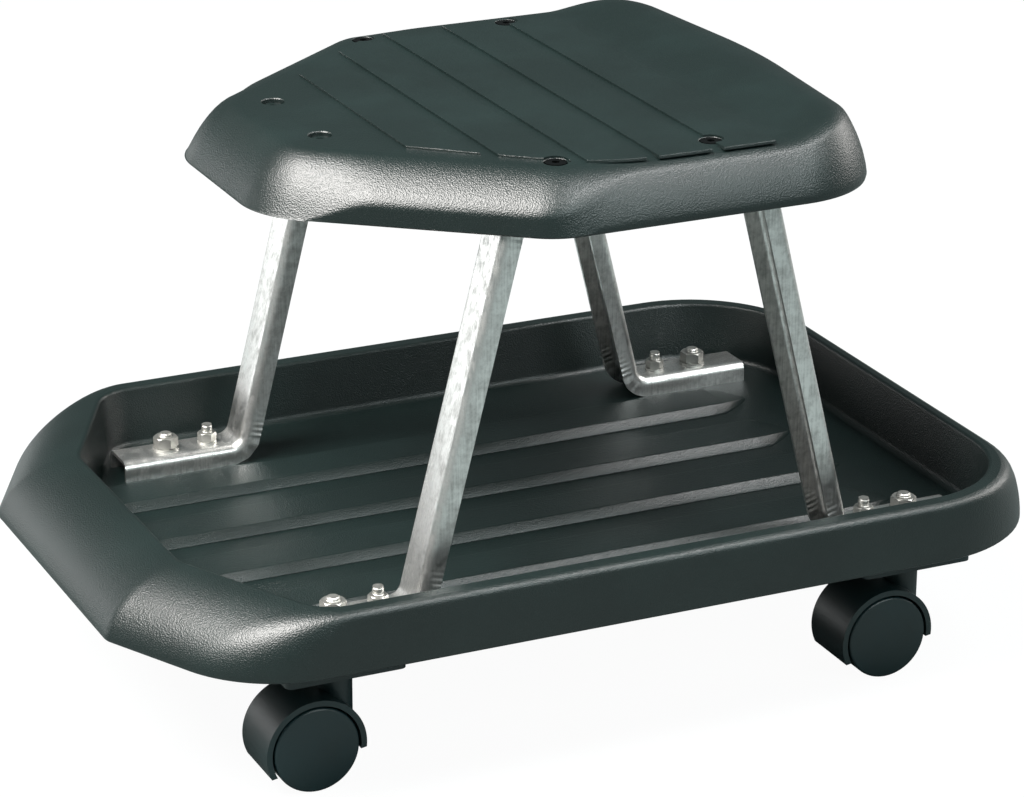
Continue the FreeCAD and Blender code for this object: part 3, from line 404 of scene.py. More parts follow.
def loft(bm, rings, capped=True):
    """Faces between closed rings of as many points each, with flat faces over the first and last ring."""
    rows = [[bm.verts.new(point) for point in ring] for ring in rings]
    count = len(rows[0])
    for row, following in zip(rows, rows[1:]):
        for index in range(count):
            after = (index + 1) % count
            bm.faces.new((row[index], row[after], following[after], following[index]))
    if capped:
        bm.faces.new(rows[0])
        bm.faces.new(rows[-1])


def lofted(name, rings):
    """A plain closed mesh through rings."""
    bm = bmesh.new()
    loft(bm, rings)
    return mesh_of(name, bm)


def quarter_turn(steps):
    """Angles from zero to a right angle."""
    return [math.pi / 2 * step / steps for step in range(steps + 1)]


def full_turn(count):
    """Angles round a circle."""
    return [2 * math.pi * index / count for index in range(count)]


def rounded_loop(corners, radii, arc_steps, side_steps=1):
    """Points and inward normals round a convex loop of corners, given anticlockwise, each rounded."""
    count = len(corners)
    points = []
    for index, corner in enumerate(corners):
        arriving = (corner - corners[index - 1]).normalized()
        leaving = (corners[(index + 1) % count] - corner).normalized()
        turn = math.acos(max(-1.0, min(1.0, arriving.dot(leaving))))
        reach = radii[index] * math.tan(turn / 2)
        inward = Vector((-arriving.y, arriving.x))
        centre = corner - arriving * reach + inward * radii[index]
        for step in range(arc_steps + 1):
            angle = turn * step / arc_steps
            outward = -inward * math.cos(angle) + arriving * math.sin(angle)
            points.append((centre + outward * radii[index], -outward))
    filled = []
    for index, (point, normal) in enumerate(points):
        filled.append((point, normal))
        following = points[(index + 1) % len(points)][0]
        if index % (arc_steps + 1) == arc_steps:
            for step in range(1, side_steps):
                filled.append((point.lerp(following, step / side_steps), normal))
    return filled


def tray_ring(sizes, end, side, tail, height, rise=1.0):
    """One loop of the tray at a height, its walls moved in by three insets; rise goes from skirt to rim."""
    cosine, sine = math.cos(sizes.cut_angle), math.sin(sizes.cut_angle)
    reach = cosine * TRAY_HIGH.x + sine * sizes.end_half - end
    end_x = TRAY_HIGH.x - end
    side_y = TRAY_HIGH.y - side
    tail_x = TRAY_HIGH.x + sizes.tail_swell - tail
    end_y = (reach - cosine * end_x) / sine
    cut_x = (reach - sine * side_y) / cosine
    corners = [Vector(pair) for pair in ((-end_x, -end_y), (-cut_x, -side_y), (tail_x, -side_y),
                                         (tail_x, side_y), (-cut_x, side_y), (-end_x, end_y))]
    end_round = sizes.end_round_low + (sizes.end_round - sizes.end_round_low) * rise
    cut_round = sizes.cut_round_low + (sizes.cut_round - sizes.cut_round_low) * rise
    tail_round = sizes.tail_corner - CORNER_SHARE * max(side, tail)
    radii = (end_round, cut_round, tail_round, tail_round, cut_round, end_round)
    loop = rounded_loop(corners, radii, arc_steps=18)
    return [Vector((point.x, point.y, height)) for point, _ in loop]


def rolled(height, top, radius):
    """Inset of a rounded rim at a height."""
    above = height - (top - radius)
    return 0.0 if above <= 0 else radius - math.sqrt(max(radius ** 2 - above ** 2, 0.0))


class CREEPER_OT_tray(bpy.types.Operator):
    """Build the moulded tray with its rolled shoulder, rim and floor"""
    bl_idname = "creeper.tray"
    bl_label = "Tray"

    def execute(self, context):
        sizes = context.scene.creeper_tray
        top = TRAY_HIGH.z
        foot = sizes.skirt_low + sizes.shoulder_edge
        pan_end = sizes.shoulder_width
        pan_side = sizes.rim_width - sizes.wall
        pan_tail = sizes.tail_width - sizes.wall
        pan_top = top - 3 * sizes.wall
        # underside and outer wall of the pan
        rings = [
            (pan_end + sizes.wall, pan_side + sizes.wall, pan_tail + sizes.wall, TRAY_LOW.z),
            (pan_end, pan_side, pan_tail, TRAY_LOW.z + sizes.wall / 2),
            (pan_end, pan_side, pan_tail, pan_top),
        ]
        # outside from the skirt over the rolled shoulder to the rim
        outside = []
        steps = 18
        for step in range(steps + 1):
            first, last = sizes.shoulder_start, sizes.shoulder_turn
            angle = first + (last - first) * step / steps
            climb = (math.sin(angle) - math.sin(first)) / (math.sin(last) - math.sin(first))
            rise = (math.cos(first) - math.cos(angle)) / (math.cos(first) - math.cos(last))
            height = foot + (top - foot) * climb
            side = sizes.side_lean * rise + rolled(height, top, sizes.side_round)
            outside.append((sizes.shoulder_width * rise, side, sizes.tail_roll * rise, height, rise))
        # inside of the shoulder and the skirt, back down to their lower edge
        for end, side, tail, height, rise in reversed(outside):
            if height < pan_top - sizes.wall and end + sizes.wall < pan_end:
                inset = [reach + sizes.wall for reach in (end, side, tail)]
                rings.append((*inset, height - sizes.wall / 2, rise))
        chamfer = sizes.wall / 4
        rings.append((sizes.wall, sizes.wall, sizes.wall, sizes.skirt_low, 0.0))
        rings.append((chamfer, chamfer, chamfer, sizes.skirt_low, 0.0))
        rings.append((0, 0, 0, sizes.skirt_low + chamfer, 0.0))
        rings += outside
        # rim and its inner edge
        crest = sizes.shoulder_width + sizes.lip_round / 2
        flat_side = sizes.rim_width - sizes.lip_round
        flat_tail = sizes.tail_width - sizes.lip_round
        rings.append((crest, flat_side, flat_tail, top))
        for angle in (math.radians(30), math.radians(60), math.radians(90)):
            out = sizes.lip_round * math.sin(angle)
            drop = sizes.lip_round * (1 - math.cos(angle))
            rings.append((crest + out, flat_side + out, flat_tail + out, top - drop))
        # inner wall, rounded into the floor
        low = sizes.floor_top + sizes.floor_round
        lean = sizes.lip_round + sizes.draft
        rings.append((crest + lean, flat_side + lean, flat_tail + lean, low))
        for angle in (math.radians(22), math.radians(45), math.radians(68), math.radians(90)):
            out = lean + sizes.floor_round * (1 - math.cos(angle))
            drop = sizes.floor_round * math.sin(angle)
            rings.append((crest + out, flat_side + out, flat_tail + out, low - drop))
        mesh = lofted("tray_moulding", [tray_ring(sizes, *ring) for ring in rings])
        new_piece("tray_moulding", mesh, "leather_grain_polypropylene", ["tray"])
        return {"FINISHED"}


def group_tree(name, inputs):
    """An empty geometry tree with named inputs and a geometry output."""
    tree = bpy.data.node_groups.new(name, "GeometryNodeTree")
    tree.interface.new_socket("Geometry", in_out="INPUT", socket_type="NodeSocketGeometry")
    for label, kind in inputs:
        tree.interface.new_socket(label, in_out="INPUT", socket_type=kind)
    tree.interface.new_socket("Geometry", in_out="OUTPUT", socket_type="NodeSocketGeometry")
    return tree, add(tree, "NodeGroupInput").outputs


def end_tree(tree, given, geometry, turn=0.0):
    """Put a copy of the geometry on each point, as plain faces with the given finish."""
    copies = add(tree, "GeometryNodeInstanceOnPoints", {"Rotation": (0.0, 0.0, turn)},
                 {"Points": given["Geometry"], "Instance": geometry})
    whole = add(tree, "GeometryNodeRealizeInstances", links={"Geometry": copies.outputs[0]})
    finish = add(tree, "GeometryNodeSetMaterial",
                 links={"Geometry": whole.outputs[0], "Material": given["Finish"]})
    add(tree, "NodeGroupOutput", links={"Geometry": finish.outputs[0]})


def grown(name, points, tree, values):
    """The plain mesh that a geometry tree grows on points, with its inputs set by label."""
    seed = bpy.data.meshes.new(name + "_points")
    seed.from_pydata(points, [], [])
    carrier = bpy.data.objects.new(name + "_carrier", seed)
    bpy.context.scene.collection.objects.link(carrier)
    modifier = carrier.modifiers.new(name, "NODES")
    modifier.node_group = tree
    for socket in tree.interface.items_tree:
        if socket.in_out == "INPUT" and socket.name in values:
            modifier[socket.identifier] = values[socket.name]
    graph = bpy.context.evaluated_depsgraph_get()
    mesh = bpy.data.meshes.new_from_object(carrier.evaluated_get(graph))
    mesh.name = name
    carrier.modifiers.remove(modifier)
    bpy.data.objects.remove(carrier)
    if not mesh.polygons:
        raise RuntimeError(name + " grew no faces")
    return mesh


class CREEPER_OT_floor_ridges(bpy.types.Operator):
    """Grow the long raised ridges of the tray's floor"""
    bl_idname = "creeper.floor_ridges"
    bl_label = "Floor ridges"

    def execute(self, context):
        sizes = context.scene.creeper_tray
        steps = 40
        taper_share, tip_share = 0.955, 0.12
        tree, given = group_tree("floor_ridge", (
            ("Length", "NodeSocketFloat"), ("Width", "NodeSocketFloat"), ("Height", "NodeSocketFloat"),
            ("Finish", "NodeSocketMaterial")))
        tip = add(tree, "ShaderNodeCombineXYZ", links={"X": given["Length"]})
        spine = add(tree, "GeometryNodeCurvePrimitiveLine", links={"End": tip.outputs[0]})
        spine = add(tree, "GeometryNodeResampleCurve", {"Count": steps}, {"Curve": spine.outputs[0]})
        along = add(tree, "GeometryNodeSplineParameter")
        fade = add(tree, "ShaderNodeMapRange",
                   {"From Min": taper_share, "From Max": 1.0, "To Min": 1.0, "To Max": tip_share},
                   {"Value": along.outputs["Factor"]})
        rise = add(tree, "ShaderNodeMath", {"operation": "ADD", 1: sizes.wall / 2}, {0: given["Height"]})
        top = add(tree, "ShaderNodeMath", {"operation": "MULTIPLY_ADD", 1: -2.0},
                  {0: given["Height"], 2: given["Width"]})
        foot = add(tree, "ShaderNodeMath", {"operation": "ADD", 1: sizes.wall}, {0: given["Width"]})
        lift = add(tree, "ShaderNodeMath", {"operation": "MULTIPLY_ADD", 1: -0.5, 2: sizes.wall / 4},
                   {0: given["Height"]})
        section = add(tree, "GeometryNodeCurvePrimitiveQuadrilateral", {"mode": "TRAPEZOID", "Offset": 0.0},
                      {"Bottom Width": foot.outputs[0], "Top Width": top.outputs[0],
                       "Height": rise.outputs[0]})
        shift = add(tree, "ShaderNodeCombineXYZ", links={"Y": lift.outputs[0]})
        section = add(tree, "GeometryNodeTransform", {"Rotation": (0.0, 0.0, math.pi)},
                      {"Geometry": section.outputs[0], "Translation": shift.outputs[0]})
        section = add(tree, "GeometryNodeFilletCurve",
                      {"mode": "POLY", "Count": 4, "Radius": sizes.ridge_round},
                      {"Curve": section.outputs[0]})
        bar = add(tree, "GeometryNodeCurveToMesh", {"Fill Caps": True},
                  {"Curve": spine.outputs[0], "Profile Curve": section.outputs[0], "Scale": fade.outputs[0]})
        end_tree(tree, given, bar.outputs[0])
        middle = (sizes.ridge_count - 1) / 2
        points = [(-sizes.ridge_start, (index - middle) * sizes.ridge_pitch, sizes.floor_top)
                  for index in range(sizes.ridge_count)]
        mesh = grown("floor_ridges", points, tree, {
            "Length": sizes.ridge_start + sizes.ridge_end, "Width": sizes.ridge_width,
            "Height": sizes.ridge_height, "Finish": stock("leather_grain_polypropylene")})
        new_piece("floor_ridges", mesh, "leather_grain_polypropylene")
        return {"FINISHED"}


def ease(value):
    """Smooth step from zero to one."""
    held = max(0.0, min(1.0, value))
    return held * held * (3 - 2 * held)


def seat_outline(sizes):
    """Points and inward normals round the lower edge of the seat."""
    side = SEAT_HIGH.y
    nose = SEAT_LOW.x - sizes.nose_swell
    corners = [Vector(pair) for pair in (
        (nose, -sizes.nose_half), (-sizes.cut_end, -side), (sizes.tail - sizes.tail_bow, -side),
        (sizes.tail, 0.0), (sizes.tail - sizes.tail_bow, side), (-sizes.cut_end, side),
        (nose, sizes.nose_half))]
    radii = (sizes.nose_round, sizes.side_round, sizes.tail_round, sizes.bow_round,
             sizes.tail_round, sizes.side_round, sizes.nose_round)
    return rounded_loop(corners, radii, arc_steps=18, side_steps=24)


def seat_lip(sizes, x):
    """Rise of the top at a place along the seat."""
    return sizes.lip_rise * ease((x - sizes.lip_start) / sizes.lip_run)


def seat_ring(sizes, outline, profile):
    """One loop round the seat: a profile gives inset and height from the shares of straight side and nose."""
    ring = []
    base = SEAT_LOW.z
    for point, inward in outline:
        straight = ease((point.x + sizes.side_start) / sizes.side_run)
        nose = ease((-point.x - sizes.nose_start) / sizes.nose_run)
        inset, height = profile(straight, nose)
        place = point + inward * inset
        rise = seat_lip(sizes, place.x) * max(height - base, 0.0) / (sizes.top - base)
        ring.append(Vector((place.x, place.y, height + rise)))
    return ring


def seat_plate(sizes, outline, inset, height, steps):
    """Loops that carry a flat face from an inset to the middle of the seat."""
    rings = []
    for step in range(1, steps + 1):
        share = 1 - step / steps
        ring = []
        for point, inward in outline:
            place = point + inward * inset
            spine = Vector((max(-sizes.spine_half, min(sizes.spine_half, place.x)), 0.0))
            place = spine.lerp(place, share)
            ring.append(Vector((place.x, place.y, height + seat_lip(sizes, place.x))))
        rings.append(ring)
    return rings


def disc(centre, radius, height, count=40):
    """A level circle of points."""
    middle = Vector((*centre, height))
    return [middle + Vector((radius * math.cos(t), radius * math.sin(t), 0.0)) for t in full_turn(count)]


def seat_bolt_places(sizes):
    """Places of the sunk bolts over the leg heads."""
    return [(MIDDLE_X + end * sizes.bolt_place, side * LANE) for end in (-1, 1) for side in (-1, 1)]


def nose_hole_places(sizes):
    """Places of the open holes near the nose."""
    return [(-sizes.nose_hole_x, side * sizes.nose_hole_y) for side in (-1, 1)]


def cut_away(name, solid, cutters):
    """The plain mesh of a closed form with other closed forms cut out of it."""
    piece, tool = (bpy.data.objects.new(name + part, mesh_of(name + part, bm))
                   for part, bm in (("_blank", solid), ("_holes", cutters)))
    for item in (piece, tool):
        bpy.context.scene.collection.objects.link(item)
    modifier = piece.modifiers.new("holes", "BOOLEAN")
    modifier.operation = "DIFFERENCE"
    modifier.solver = "MANIFOLD"
    modifier.object = tool
    graph = bpy.context.evaluated_depsgraph_get()
    mesh = bpy.data.meshes.new_from_object(piece.evaluated_get(graph))
    for item in (piece, tool):
        bpy.data.objects.remove(item)
    if not mesh.polygons:
        raise RuntimeError(name + " was cut away whole")
    return mesh


class CREEPER_OT_seat(bpy.types.Operator):
    """Build the moulded seat with its creased edge, raised tail and sunk holes"""
    bl_idname = "creeper.seat"
    bl_label = "Seat"

    def execute(self, context):
        sizes = context.scene.creeper_seat
        outline = seat_outline(sizes)
        base = SEAT_LOW.z
        bulge_share = 0.6                       # how much the straight sides bulge
        full_share, nose_share = 0.9, 0.4       # how full the bevel is, and how much less so at the nose
        below_share, above_share = 0.76, 0.14   # where the rounding of the crease starts and ends

        def crease(straight, nose):
            height = sizes.crease + (sizes.side_crease - sizes.crease) * straight
            height += (base + sizes.nose_edge - height) * nose
            return sizes.crease_inset + (sizes.side_lean - sizes.crease_inset) * straight, height

        def skirt(share):
            def profile(straight, nose):
                inset, height = crease(straight, nose)
                return inset * share ** (1 + bulge_share * straight), base + (height - base) * share
            return profile

        def bevel(share):
            def profile(straight, nose):
                inset, height = crease(straight, nose)
                handle = inset + (full_share - nose_share * nose) * (sizes.top - height)
                across = (1 - share) ** 2 * inset + 2 * share * (1 - share) * handle
                across += share ** 2 * sizes.bevel_reach
                up = (1 - share) ** 2 * height + (1 - (1 - share) ** 2) * sizes.top
                return across, up
            return profile

        def eased(share):
            def profile(straight, nose):
                low, middle, high = (part(straight, nose) for part in (
                    skirt(below_share), skirt(1.0), bevel(above_share)))
                weights = ((1 - share) ** 2, 2 * share * (1 - share), share ** 2)
                return tuple(sum(w * point[axis] for w, point in zip(weights, (low, middle, high)))
                             for axis in (0, 1))
            return profile

        def within(outer, across, down):
            def profile(straight, nose):
                inset, height = outer(straight, nose)
                return inset + across * sizes.wall, max(height - down * sizes.wall, base)
            return profile

        # from the middle of the underside out to the lower edge
        inside = [within(bevel(1.0), 0.0, 1.0), within(bevel(0.6), 0.5, 1.0), within(bevel(0.2), 0.8, 0.6),
                  within(skirt(1.0), 1.0, 0.0), within(skirt(0.5), 1.0, 0.0), within(skirt(0.05), 1.0, 0.0),
                  lambda straight, nose: (sizes.wall - sizes.crease_inset, base)]
        rings = list(reversed(seat_plate(sizes, outline, sizes.bevel_reach, sizes.top - sizes.wall, 6)))
        rings += [seat_ring(sizes, outline, profile) for profile in inside]
        # up the skirt, over the crease and the bevel, and in to the middle of the top
        rings.append(seat_ring(sizes, outline, lambda straight, nose: (sizes.crease_inset, base)))
        rings += [seat_ring(sizes, outline, skirt(share)) for share in (0.06, 0.2, 0.4, 0.6, 0.72)]
        rings += [seat_ring(sizes, outline, eased(share)) for share in (0.15, 0.3, 0.5, 0.7, 0.85)]
        rings += [seat_ring(sizes, outline, bevel(share)) for share in
                  (0.16, 0.23, 0.3, 0.4, 0.5, 0.6, 0.7, 0.8, 0.9, 1.0)]
        rings += seat_plate(sizes, outline, sizes.bevel_reach, sizes.top, 14)
        blank = bmesh.new()
        loft(blank, rings, capped=False)

        holes = bmesh.new()
        floor = sizes.top - sizes.sink_depth
        edge = 0.5 * MM
        overrun = 10 * MM
        places = seat_bolt_places(sizes) + nose_hole_places(sizes)
        for place in places:
            loft(holes, [disc(place, sizes.hole_radius, sizes.boss_low - overrun),
                         disc(place, sizes.hole_radius, floor), disc(place, sizes.sink_radius, floor),
                         disc(place, sizes.sink_radius, sizes.top - edge),
                         disc(place, sizes.sink_radius + edge, sizes.top),
                         disc(place, sizes.sink_radius + 4 * edge, sizes.top + 3 * edge)])

        # hollow bosses under the holes, let into the moulding
        bosses = bmesh.new()
        bosses.from_mesh(cut_away("seat", blank, holes))
        high = sizes.top - sizes.wall + edge
        for place in places:
            loft(bosses, [disc(place, sizes.hole_radius, high), disc(place, sizes.boss_radius, high),
                          disc(place, sizes.boss_radius, sizes.boss_low),
                          disc(place, sizes.hole_radius, sizes.boss_low),
                          disc(place, sizes.hole_radius, high)], capped=False)
        new_piece("seat_moulding", mesh_of("seat_moulding", bosses), "leather_grain_polypropylene",
                  ["seat_shell"])
        return {"FINISHED"}


class CREEPER_OT_slats(bpy.types.Operator):
    """Build the raised slats across the top of the seat"""
    bl_idname = "creeper.slats"
    bl_label = "Slats"

    def execute(self, context):
        sizes = context.scene.creeper_seat
        soft = 12 * MM
        slant = 0.9
        sunk = 0.6 * MM
        edge = 0.4 * MM
        overrun = 2 * MM
        columns = 8

        def reach(x):
            slanted = sizes.slat_nose_reach + slant * (x + sizes.slat_first)
            return -soft * math.log(math.exp(-slanted / soft) + math.exp(-sizes.slat_reach / soft))

        slats = bmesh.new()
        for index in range(sizes.slat_count):
            start = index * sizes.slat_pitch - sizes.slat_first
            rings = []
            # the edge towards the nose stays sharper than the others
            for nose_inset, inset, height in (
                    (0, 0, -sunk), (0, 0, sizes.slat_rise - edge),
                    (edge * 0.1, edge * 0.35, sizes.slat_rise - edge * 0.35),
                    (edge * 0.25, edge, sizes.slat_rise)):
                low, high = start + nose_inset, start + sizes.slat_width - inset
                places = [low + (high - low) * column / columns for column in range(columns + 1)]
                front = [Vector((x, inset - reach(x), sizes.top + height)) for x in places]
                rear = [Vector((x, min(reach(x), sizes.slat_rear_reach) - inset, sizes.top + height))
                        for x in reversed(places)]
                rings.append(front + rear)
            loft(slats, rings)
        holes = bmesh.new()
        for place in seat_bolt_places(sizes):
            loft(holes, [disc(place, sizes.sink_radius + edge, sizes.top - overrun),
                         disc(place, sizes.sink_radius + edge, sizes.top + overrun)])
        mesh = cut_away("slats", slats, holes)
        new_piece("seat_slats", mesh, "leather_grain_polypropylene")
        return {"FINISHED"}


def leg_stations(sizes):
    """Places and headings along the outer face of the web, from foot to head, in the leg's own plane."""
    corners = [Vector((LEG_LOW.x - MIDDLE_X, sizes.foot_top)), Vector((-sizes.foot_bend, sizes.foot_top)),
               Vector((-sizes.head_bend, LEG_HIGH.z)), Vector((LEG_HIGH.x - MIDDLE_X, LEG_HIGH.z))]
    fine, coarse, bend, flat = 48, 16, 14, 6
    stations = [(corners[0], (corners[1] - corners[0]).normalized())]
    for index, radius in ((1, sizes.foot_round), (2, sizes.head_round)):
        arriving = (corners[index] - corners[index - 1]).normalized()
        leaving = (corners[index + 1] - corners[index]).normalized()
        turn = arriving.angle_signed(leaving)
        reach = radius * math.tan(abs(turn) / 2)
        previous, start = stations[-1][0], corners[index] - arriving * reach
        length = (start - previous).length
        wrinkled = sizes.ripple_run / length
        # the slanted run is wrinkled beside both bends, so its stations lie close there
        if index == 2:
            shares = [wrinkled * step / fine for step in range(1, fine)]
            shares += [wrinkled + (1 - 2 * wrinkled) * step / coarse for step in range(coarse + 1)]
            shares += [1 - wrinkled + wrinkled * step / fine for step in range(1, fine)]
        else:
            shares = [step / coarse for step in range(1, coarse)]
        stations += [(previous.lerp(start, share), arriving) for share in shares]
        left = Vector((-arriving.y, arriving.x)) * (-1 if turn > 0 else 1)
        centre = start + left * radius
        for step in range(bend + 1):
            angle = abs(turn) * step / bend
            heading = (arriving * math.cos(angle) + left * math.sin(angle)).normalized()
            outward = arriving * math.sin(angle) - left * math.cos(angle)
            stations.append((centre + outward * radius, heading))
    previous, heading = stations[-1]
    stations += [(previous.lerp(corners[3], step / flat), heading) for step in range(1, flat + 1)]
    return stations


def channel_section(sizes):
    """Closed outline of the channel: place across the web and depth from its outer face."""
    waist_share = 0.6
    half, inner = sizes.width / 2, sizes.width / 2 - sizes.sheet
    bends = quarter_turn(6)
    outer = [(half - sizes.corner * (1 - math.sin(a)), sizes.corner * (1 - math.cos(a))) for a in bends]
    hollow = sizes.corner - sizes.sheet
    within = [(inner - hollow * (1 - math.sin(a)), sizes.sheet + hollow * (1 - math.cos(a))) for a in bends]
    waist = sizes.depth * waist_share
    right = outer + [(half, waist), (half, sizes.depth), (inner, sizes.depth), (inner, waist)]
    right += list(reversed(within))
    left = [(-across, depth) for across, depth in reversed(right)]
    return right + left


class CREEPER_OT_legs(bpy.types.Operator):
    """Build the four bent channel legs with the wrinkles that bending left in their flanges"""
    bl_idname = "creeper.legs"
    bl_label = "Legs"

    def execute(self, context):
        sizes = context.scene.creeper_legs
        stations = leg_stations(sizes)
        section = channel_section(sizes)
        fade_share = 1.4
        bends = (Vector((-sizes.foot_bend, sizes.foot_top)), Vector((-sizes.head_bend, LEG_HIGH.z)))
        for side_name, side in SIDES:
            for end_name, end in ENDS:
                rings = []
                run = 0.0
                for index, (place, heading) in enumerate(stations):
                    run += (place - stations[index - 1][0]).length if index else 0.0
                    inwards = Vector((heading.y, -heading.x))
                    away = min((place - bend).length for bend in bends)
                    near = ease(fade_share - fade_share * away / sizes.ripple_run)
                    wave = sizes.ripple * near * math.sin(2 * math.pi * run / sizes.ripple_pitch)
                    ring = []
                    for across, depth in section:
                        deep = max(0.0, depth - sizes.corner) / (sizes.depth - sizes.corner)
                        spot = place + inwards * depth
                        shift = wave * deep * (1 if across > 0 else -1)
                        ring.append(Vector((MIDDLE_X - end * spot.x, side * LANE + across + shift, spot.y)))
                    rings.append(ring)
                corner = "%s_%s" % (side_name, end_name)
                mesh = lofted("channel_leg_" + corner, rings)
                new_piece("channel_leg_" + corner, mesh, "zinc_plated_sheet",
                          ["leg_" + corner], sharp=40)
        return {"FINISHED"}


def fastening_tree(turn):
    """Washer, bevelled hexagon nut and thread end, grown on each point."""
    tree, given = group_tree("fastening", tuple((label, "NodeSocketFloat") for label in (
        "Washer Radius", "Washer Thickness", "Nut Radius", "Nut Height", "Thread Radius", "Thread Length",
        "Thread Turns", "Thread Depth")) + (("Finish", "NodeSocketMaterial"),))

    def scaled(socket, factor):
        return add(tree, "ShaderNodeMath", {"operation": "MULTIPLY", 1: factor}, {0: socket}).outputs[0]

    def summed(first, second):
        return add(tree, "ShaderNodeMath", {"operation": "ADD"}, {0: first, 1: second}).outputs[0]

    def lifted(geometry, height):
        shift = add(tree, "ShaderNodeCombineXYZ", links={"Z": height}).outputs[0]
        moved = add(tree, "GeometryNodeTransform", links={"Geometry": geometry, "Translation": shift})
        return moved.outputs[0]

    wide_share, chamfer_share = 2.0, 0.88
    washer = add(tree, "GeometryNodeMeshCylinder", {"Vertices": 44},
                 {"Radius": given["Washer Radius"], "Depth": given["Washer Thickness"]}).outputs["Mesh"]
    washer = lifted(washer, scaled(given["Washer Thickness"], 0.5))
    nut = add(tree, "GeometryNodeMeshCylinder", {"Vertices": 6},
              {"Radius": given["Nut Radius"], "Depth": given["Nut Height"]}).outputs["Mesh"]
    half = scaled(given["Nut Height"], 0.5)
    # two cones, one each way up, bevel the corners of the hexagon
    wide, slim = (scaled(given["Nut Radius"], share) for share in (wide_share, chamfer_share))
    for top, bottom in ((slim, wide), (wide, slim)):
        cone = add(tree, "GeometryNodeMeshCone", {"Vertices": 48},
                   {"Radius Top": top, "Radius Bottom": bottom, "Depth": given["Nut Height"]}).outputs["Mesh"]
        cone = lifted(cone, scaled(half, -1.0))
        shared = add(tree, "GeometryNodeMeshBoolean", {"operation": "INTERSECT", "solver": "EXACT"})
        tree.links.new(nut, shared.inputs["Mesh 2"])
        tree.links.new(cone, shared.inputs["Mesh 2"])
        nut = shared.outputs[0]
    nut = lifted(nut, summed(given["Washer Thickness"], half))
    spiral = add(tree, "GeometryNodeCurveSpiral", {"Resolution": 24},
                 {"Rotations": given["Thread Turns"], "Start Radius": given["Thread Radius"],
                  "End Radius": given["Thread Radius"], "Height": given["Thread Length"]}).outputs[0]
    crest = add(tree, "GeometryNodeCurvePrimitiveCircle", {"Resolution": 4},
                {"Radius": given["Thread Depth"]}).outputs[0]
    thread = add(tree, "GeometryNodeCurveToMesh", {"Fill Caps": True},
                 {"Curve": spiral, "Profile Curve": crest}).outputs[0]
    thread = lifted(thread, summed(given["Washer Thickness"], given["Nut Height"]))
    joined = add(tree, "GeometryNodeJoinGeometry")
    for part in (washer, nut, thread):
        tree.links.new(part, joined.inputs[0])
    end_tree(tree, given, joined.outputs[0], turn)
    return tree


class CREEPER_OT_fastenings(bpy.types.Operator):
    """Grow the nuts, washers and thread ends on the four feet"""
    bl_idname = "creeper.fastenings"
    bl_label = "Fastenings"

    def execute(self, context):
        sizes = context.scene.creeper_fastenings
        foot_top = context.scene.creeper_legs.foot_top
        end_share, root_share, depth_share = 0.6, 0.1, 0.38     # of the thread's pitch
        tree = fastening_tree(sizes.nut_turn)
        for kind, node, reach in (("stem", "stem", STEM_REACH), ("bolt", "foot", sizes.bolt_reach)):
            washer, nut, nut_high, thread, past, pitch = (getattr(sizes, kind + part) for part in (
                "_washer", "_nut", "_nut_high", "_thread", "_past", "_pitch"))
            run = past - end_share * pitch
            points = [(MIDDLE_X + end * reach, side * LANE, foot_top) for _, side in SIDES for _, end in ENDS]
            mesh = grown(kind + "_fastenings", points, tree, {
                "Washer Radius": washer, "Washer Thickness": sizes.washer_thick,
                "Nut Radius": nut / math.sqrt(3), "Nut Height": nut_high,
                "Thread Radius": thread - root_share * pitch, "Thread Length": run,
                "Thread Turns": run / pitch, "Thread Depth": depth_share * pitch,
                "Finish": stock("bright_zinc_plate")})
            new_piece(kind + "_fastenings", mesh, "bright_zinc_plate",
                      [node + "_nuts", node + "_washers"], sharp=25)
        return {"FINISHED"}


def dress(node, finish):
    """Give a solid of the frame its finish."""
    slots = frame["nodes"][node].data.materials
    slots.clear()
    slots.append(stock(finish))


class CREEPER_OT_wheels(bpy.types.Operator):
    """Build the plain caster wheels with their rounded edges"""
    bl_idname = "creeper.wheels"
    bl_label = "Wheels"

    def execute(self, context):
        sizes = context.scene.creeper_wheels
        edge, gap = sizes.edge_round, sizes.bore_gap
        turns = full_turn(72)
        rounding = quarter_turn(6)
        for corner in CORNERS:
            pin_low, pin_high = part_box("axle_" + corner)
            bore = (pin_high.z - pin_low.z) / 2 + gap
            for facing, side in SIDES:
                node = "wheel_%s_%s" % (corner, facing)
                low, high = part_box(node)
                middle = (low + high) / 2
                radius, half = (high.z - low.z) / 2, (high.y - low.y) / 2
                depth = (pin_high.y if side > 0 else -pin_low.y) - side * middle.y + gap
                inner = [(radius - edge * (1 - math.sin(a)), edge * (1 - math.cos(a)) - half)
                         for a in rounding]
                outer = [(reach, -across) for reach, across in reversed(inner)]
                profile = [(bore, depth), (bore, -half)] + inner + outer
                rings = [[middle + Vector((reach * math.cos(t), side * across, reach * math.sin(t)))
                          for t in turns] for reach, across in profile]
                mesh = lofted(node + "_disc", rings)
                new_piece(node + "_disc", mesh, "smooth_wheel_nylon", [node], node)
        return {"FINISHED"}


class CREEPER_OT_casters(bpy.types.Operator):
    """Finish the caster housings and blocks, and the bolts and other steel that keep their solids"""
    bl_idname = "creeper.casters"
    bl_label = "Casters"

    def execute(self, context):
        for corner in CORNERS:
            dress("caster_block_" + corner, "fine_grain_nylon")
            dress("caster_housing_" + corner, "fine_grain_nylon")
            dress("caster_stem_" + corner, "bright_zinc_plate")
            dress("axle_" + corner, "bright_zinc_plate")
        for node in ("stem_rings", "foot_bolts", "seat_washers", "seat_nuts"):
            dress(node, "bright_zinc_plate")
        dress("seat_bolts", "black_oxide_steel")
        return {"FINISHED"}


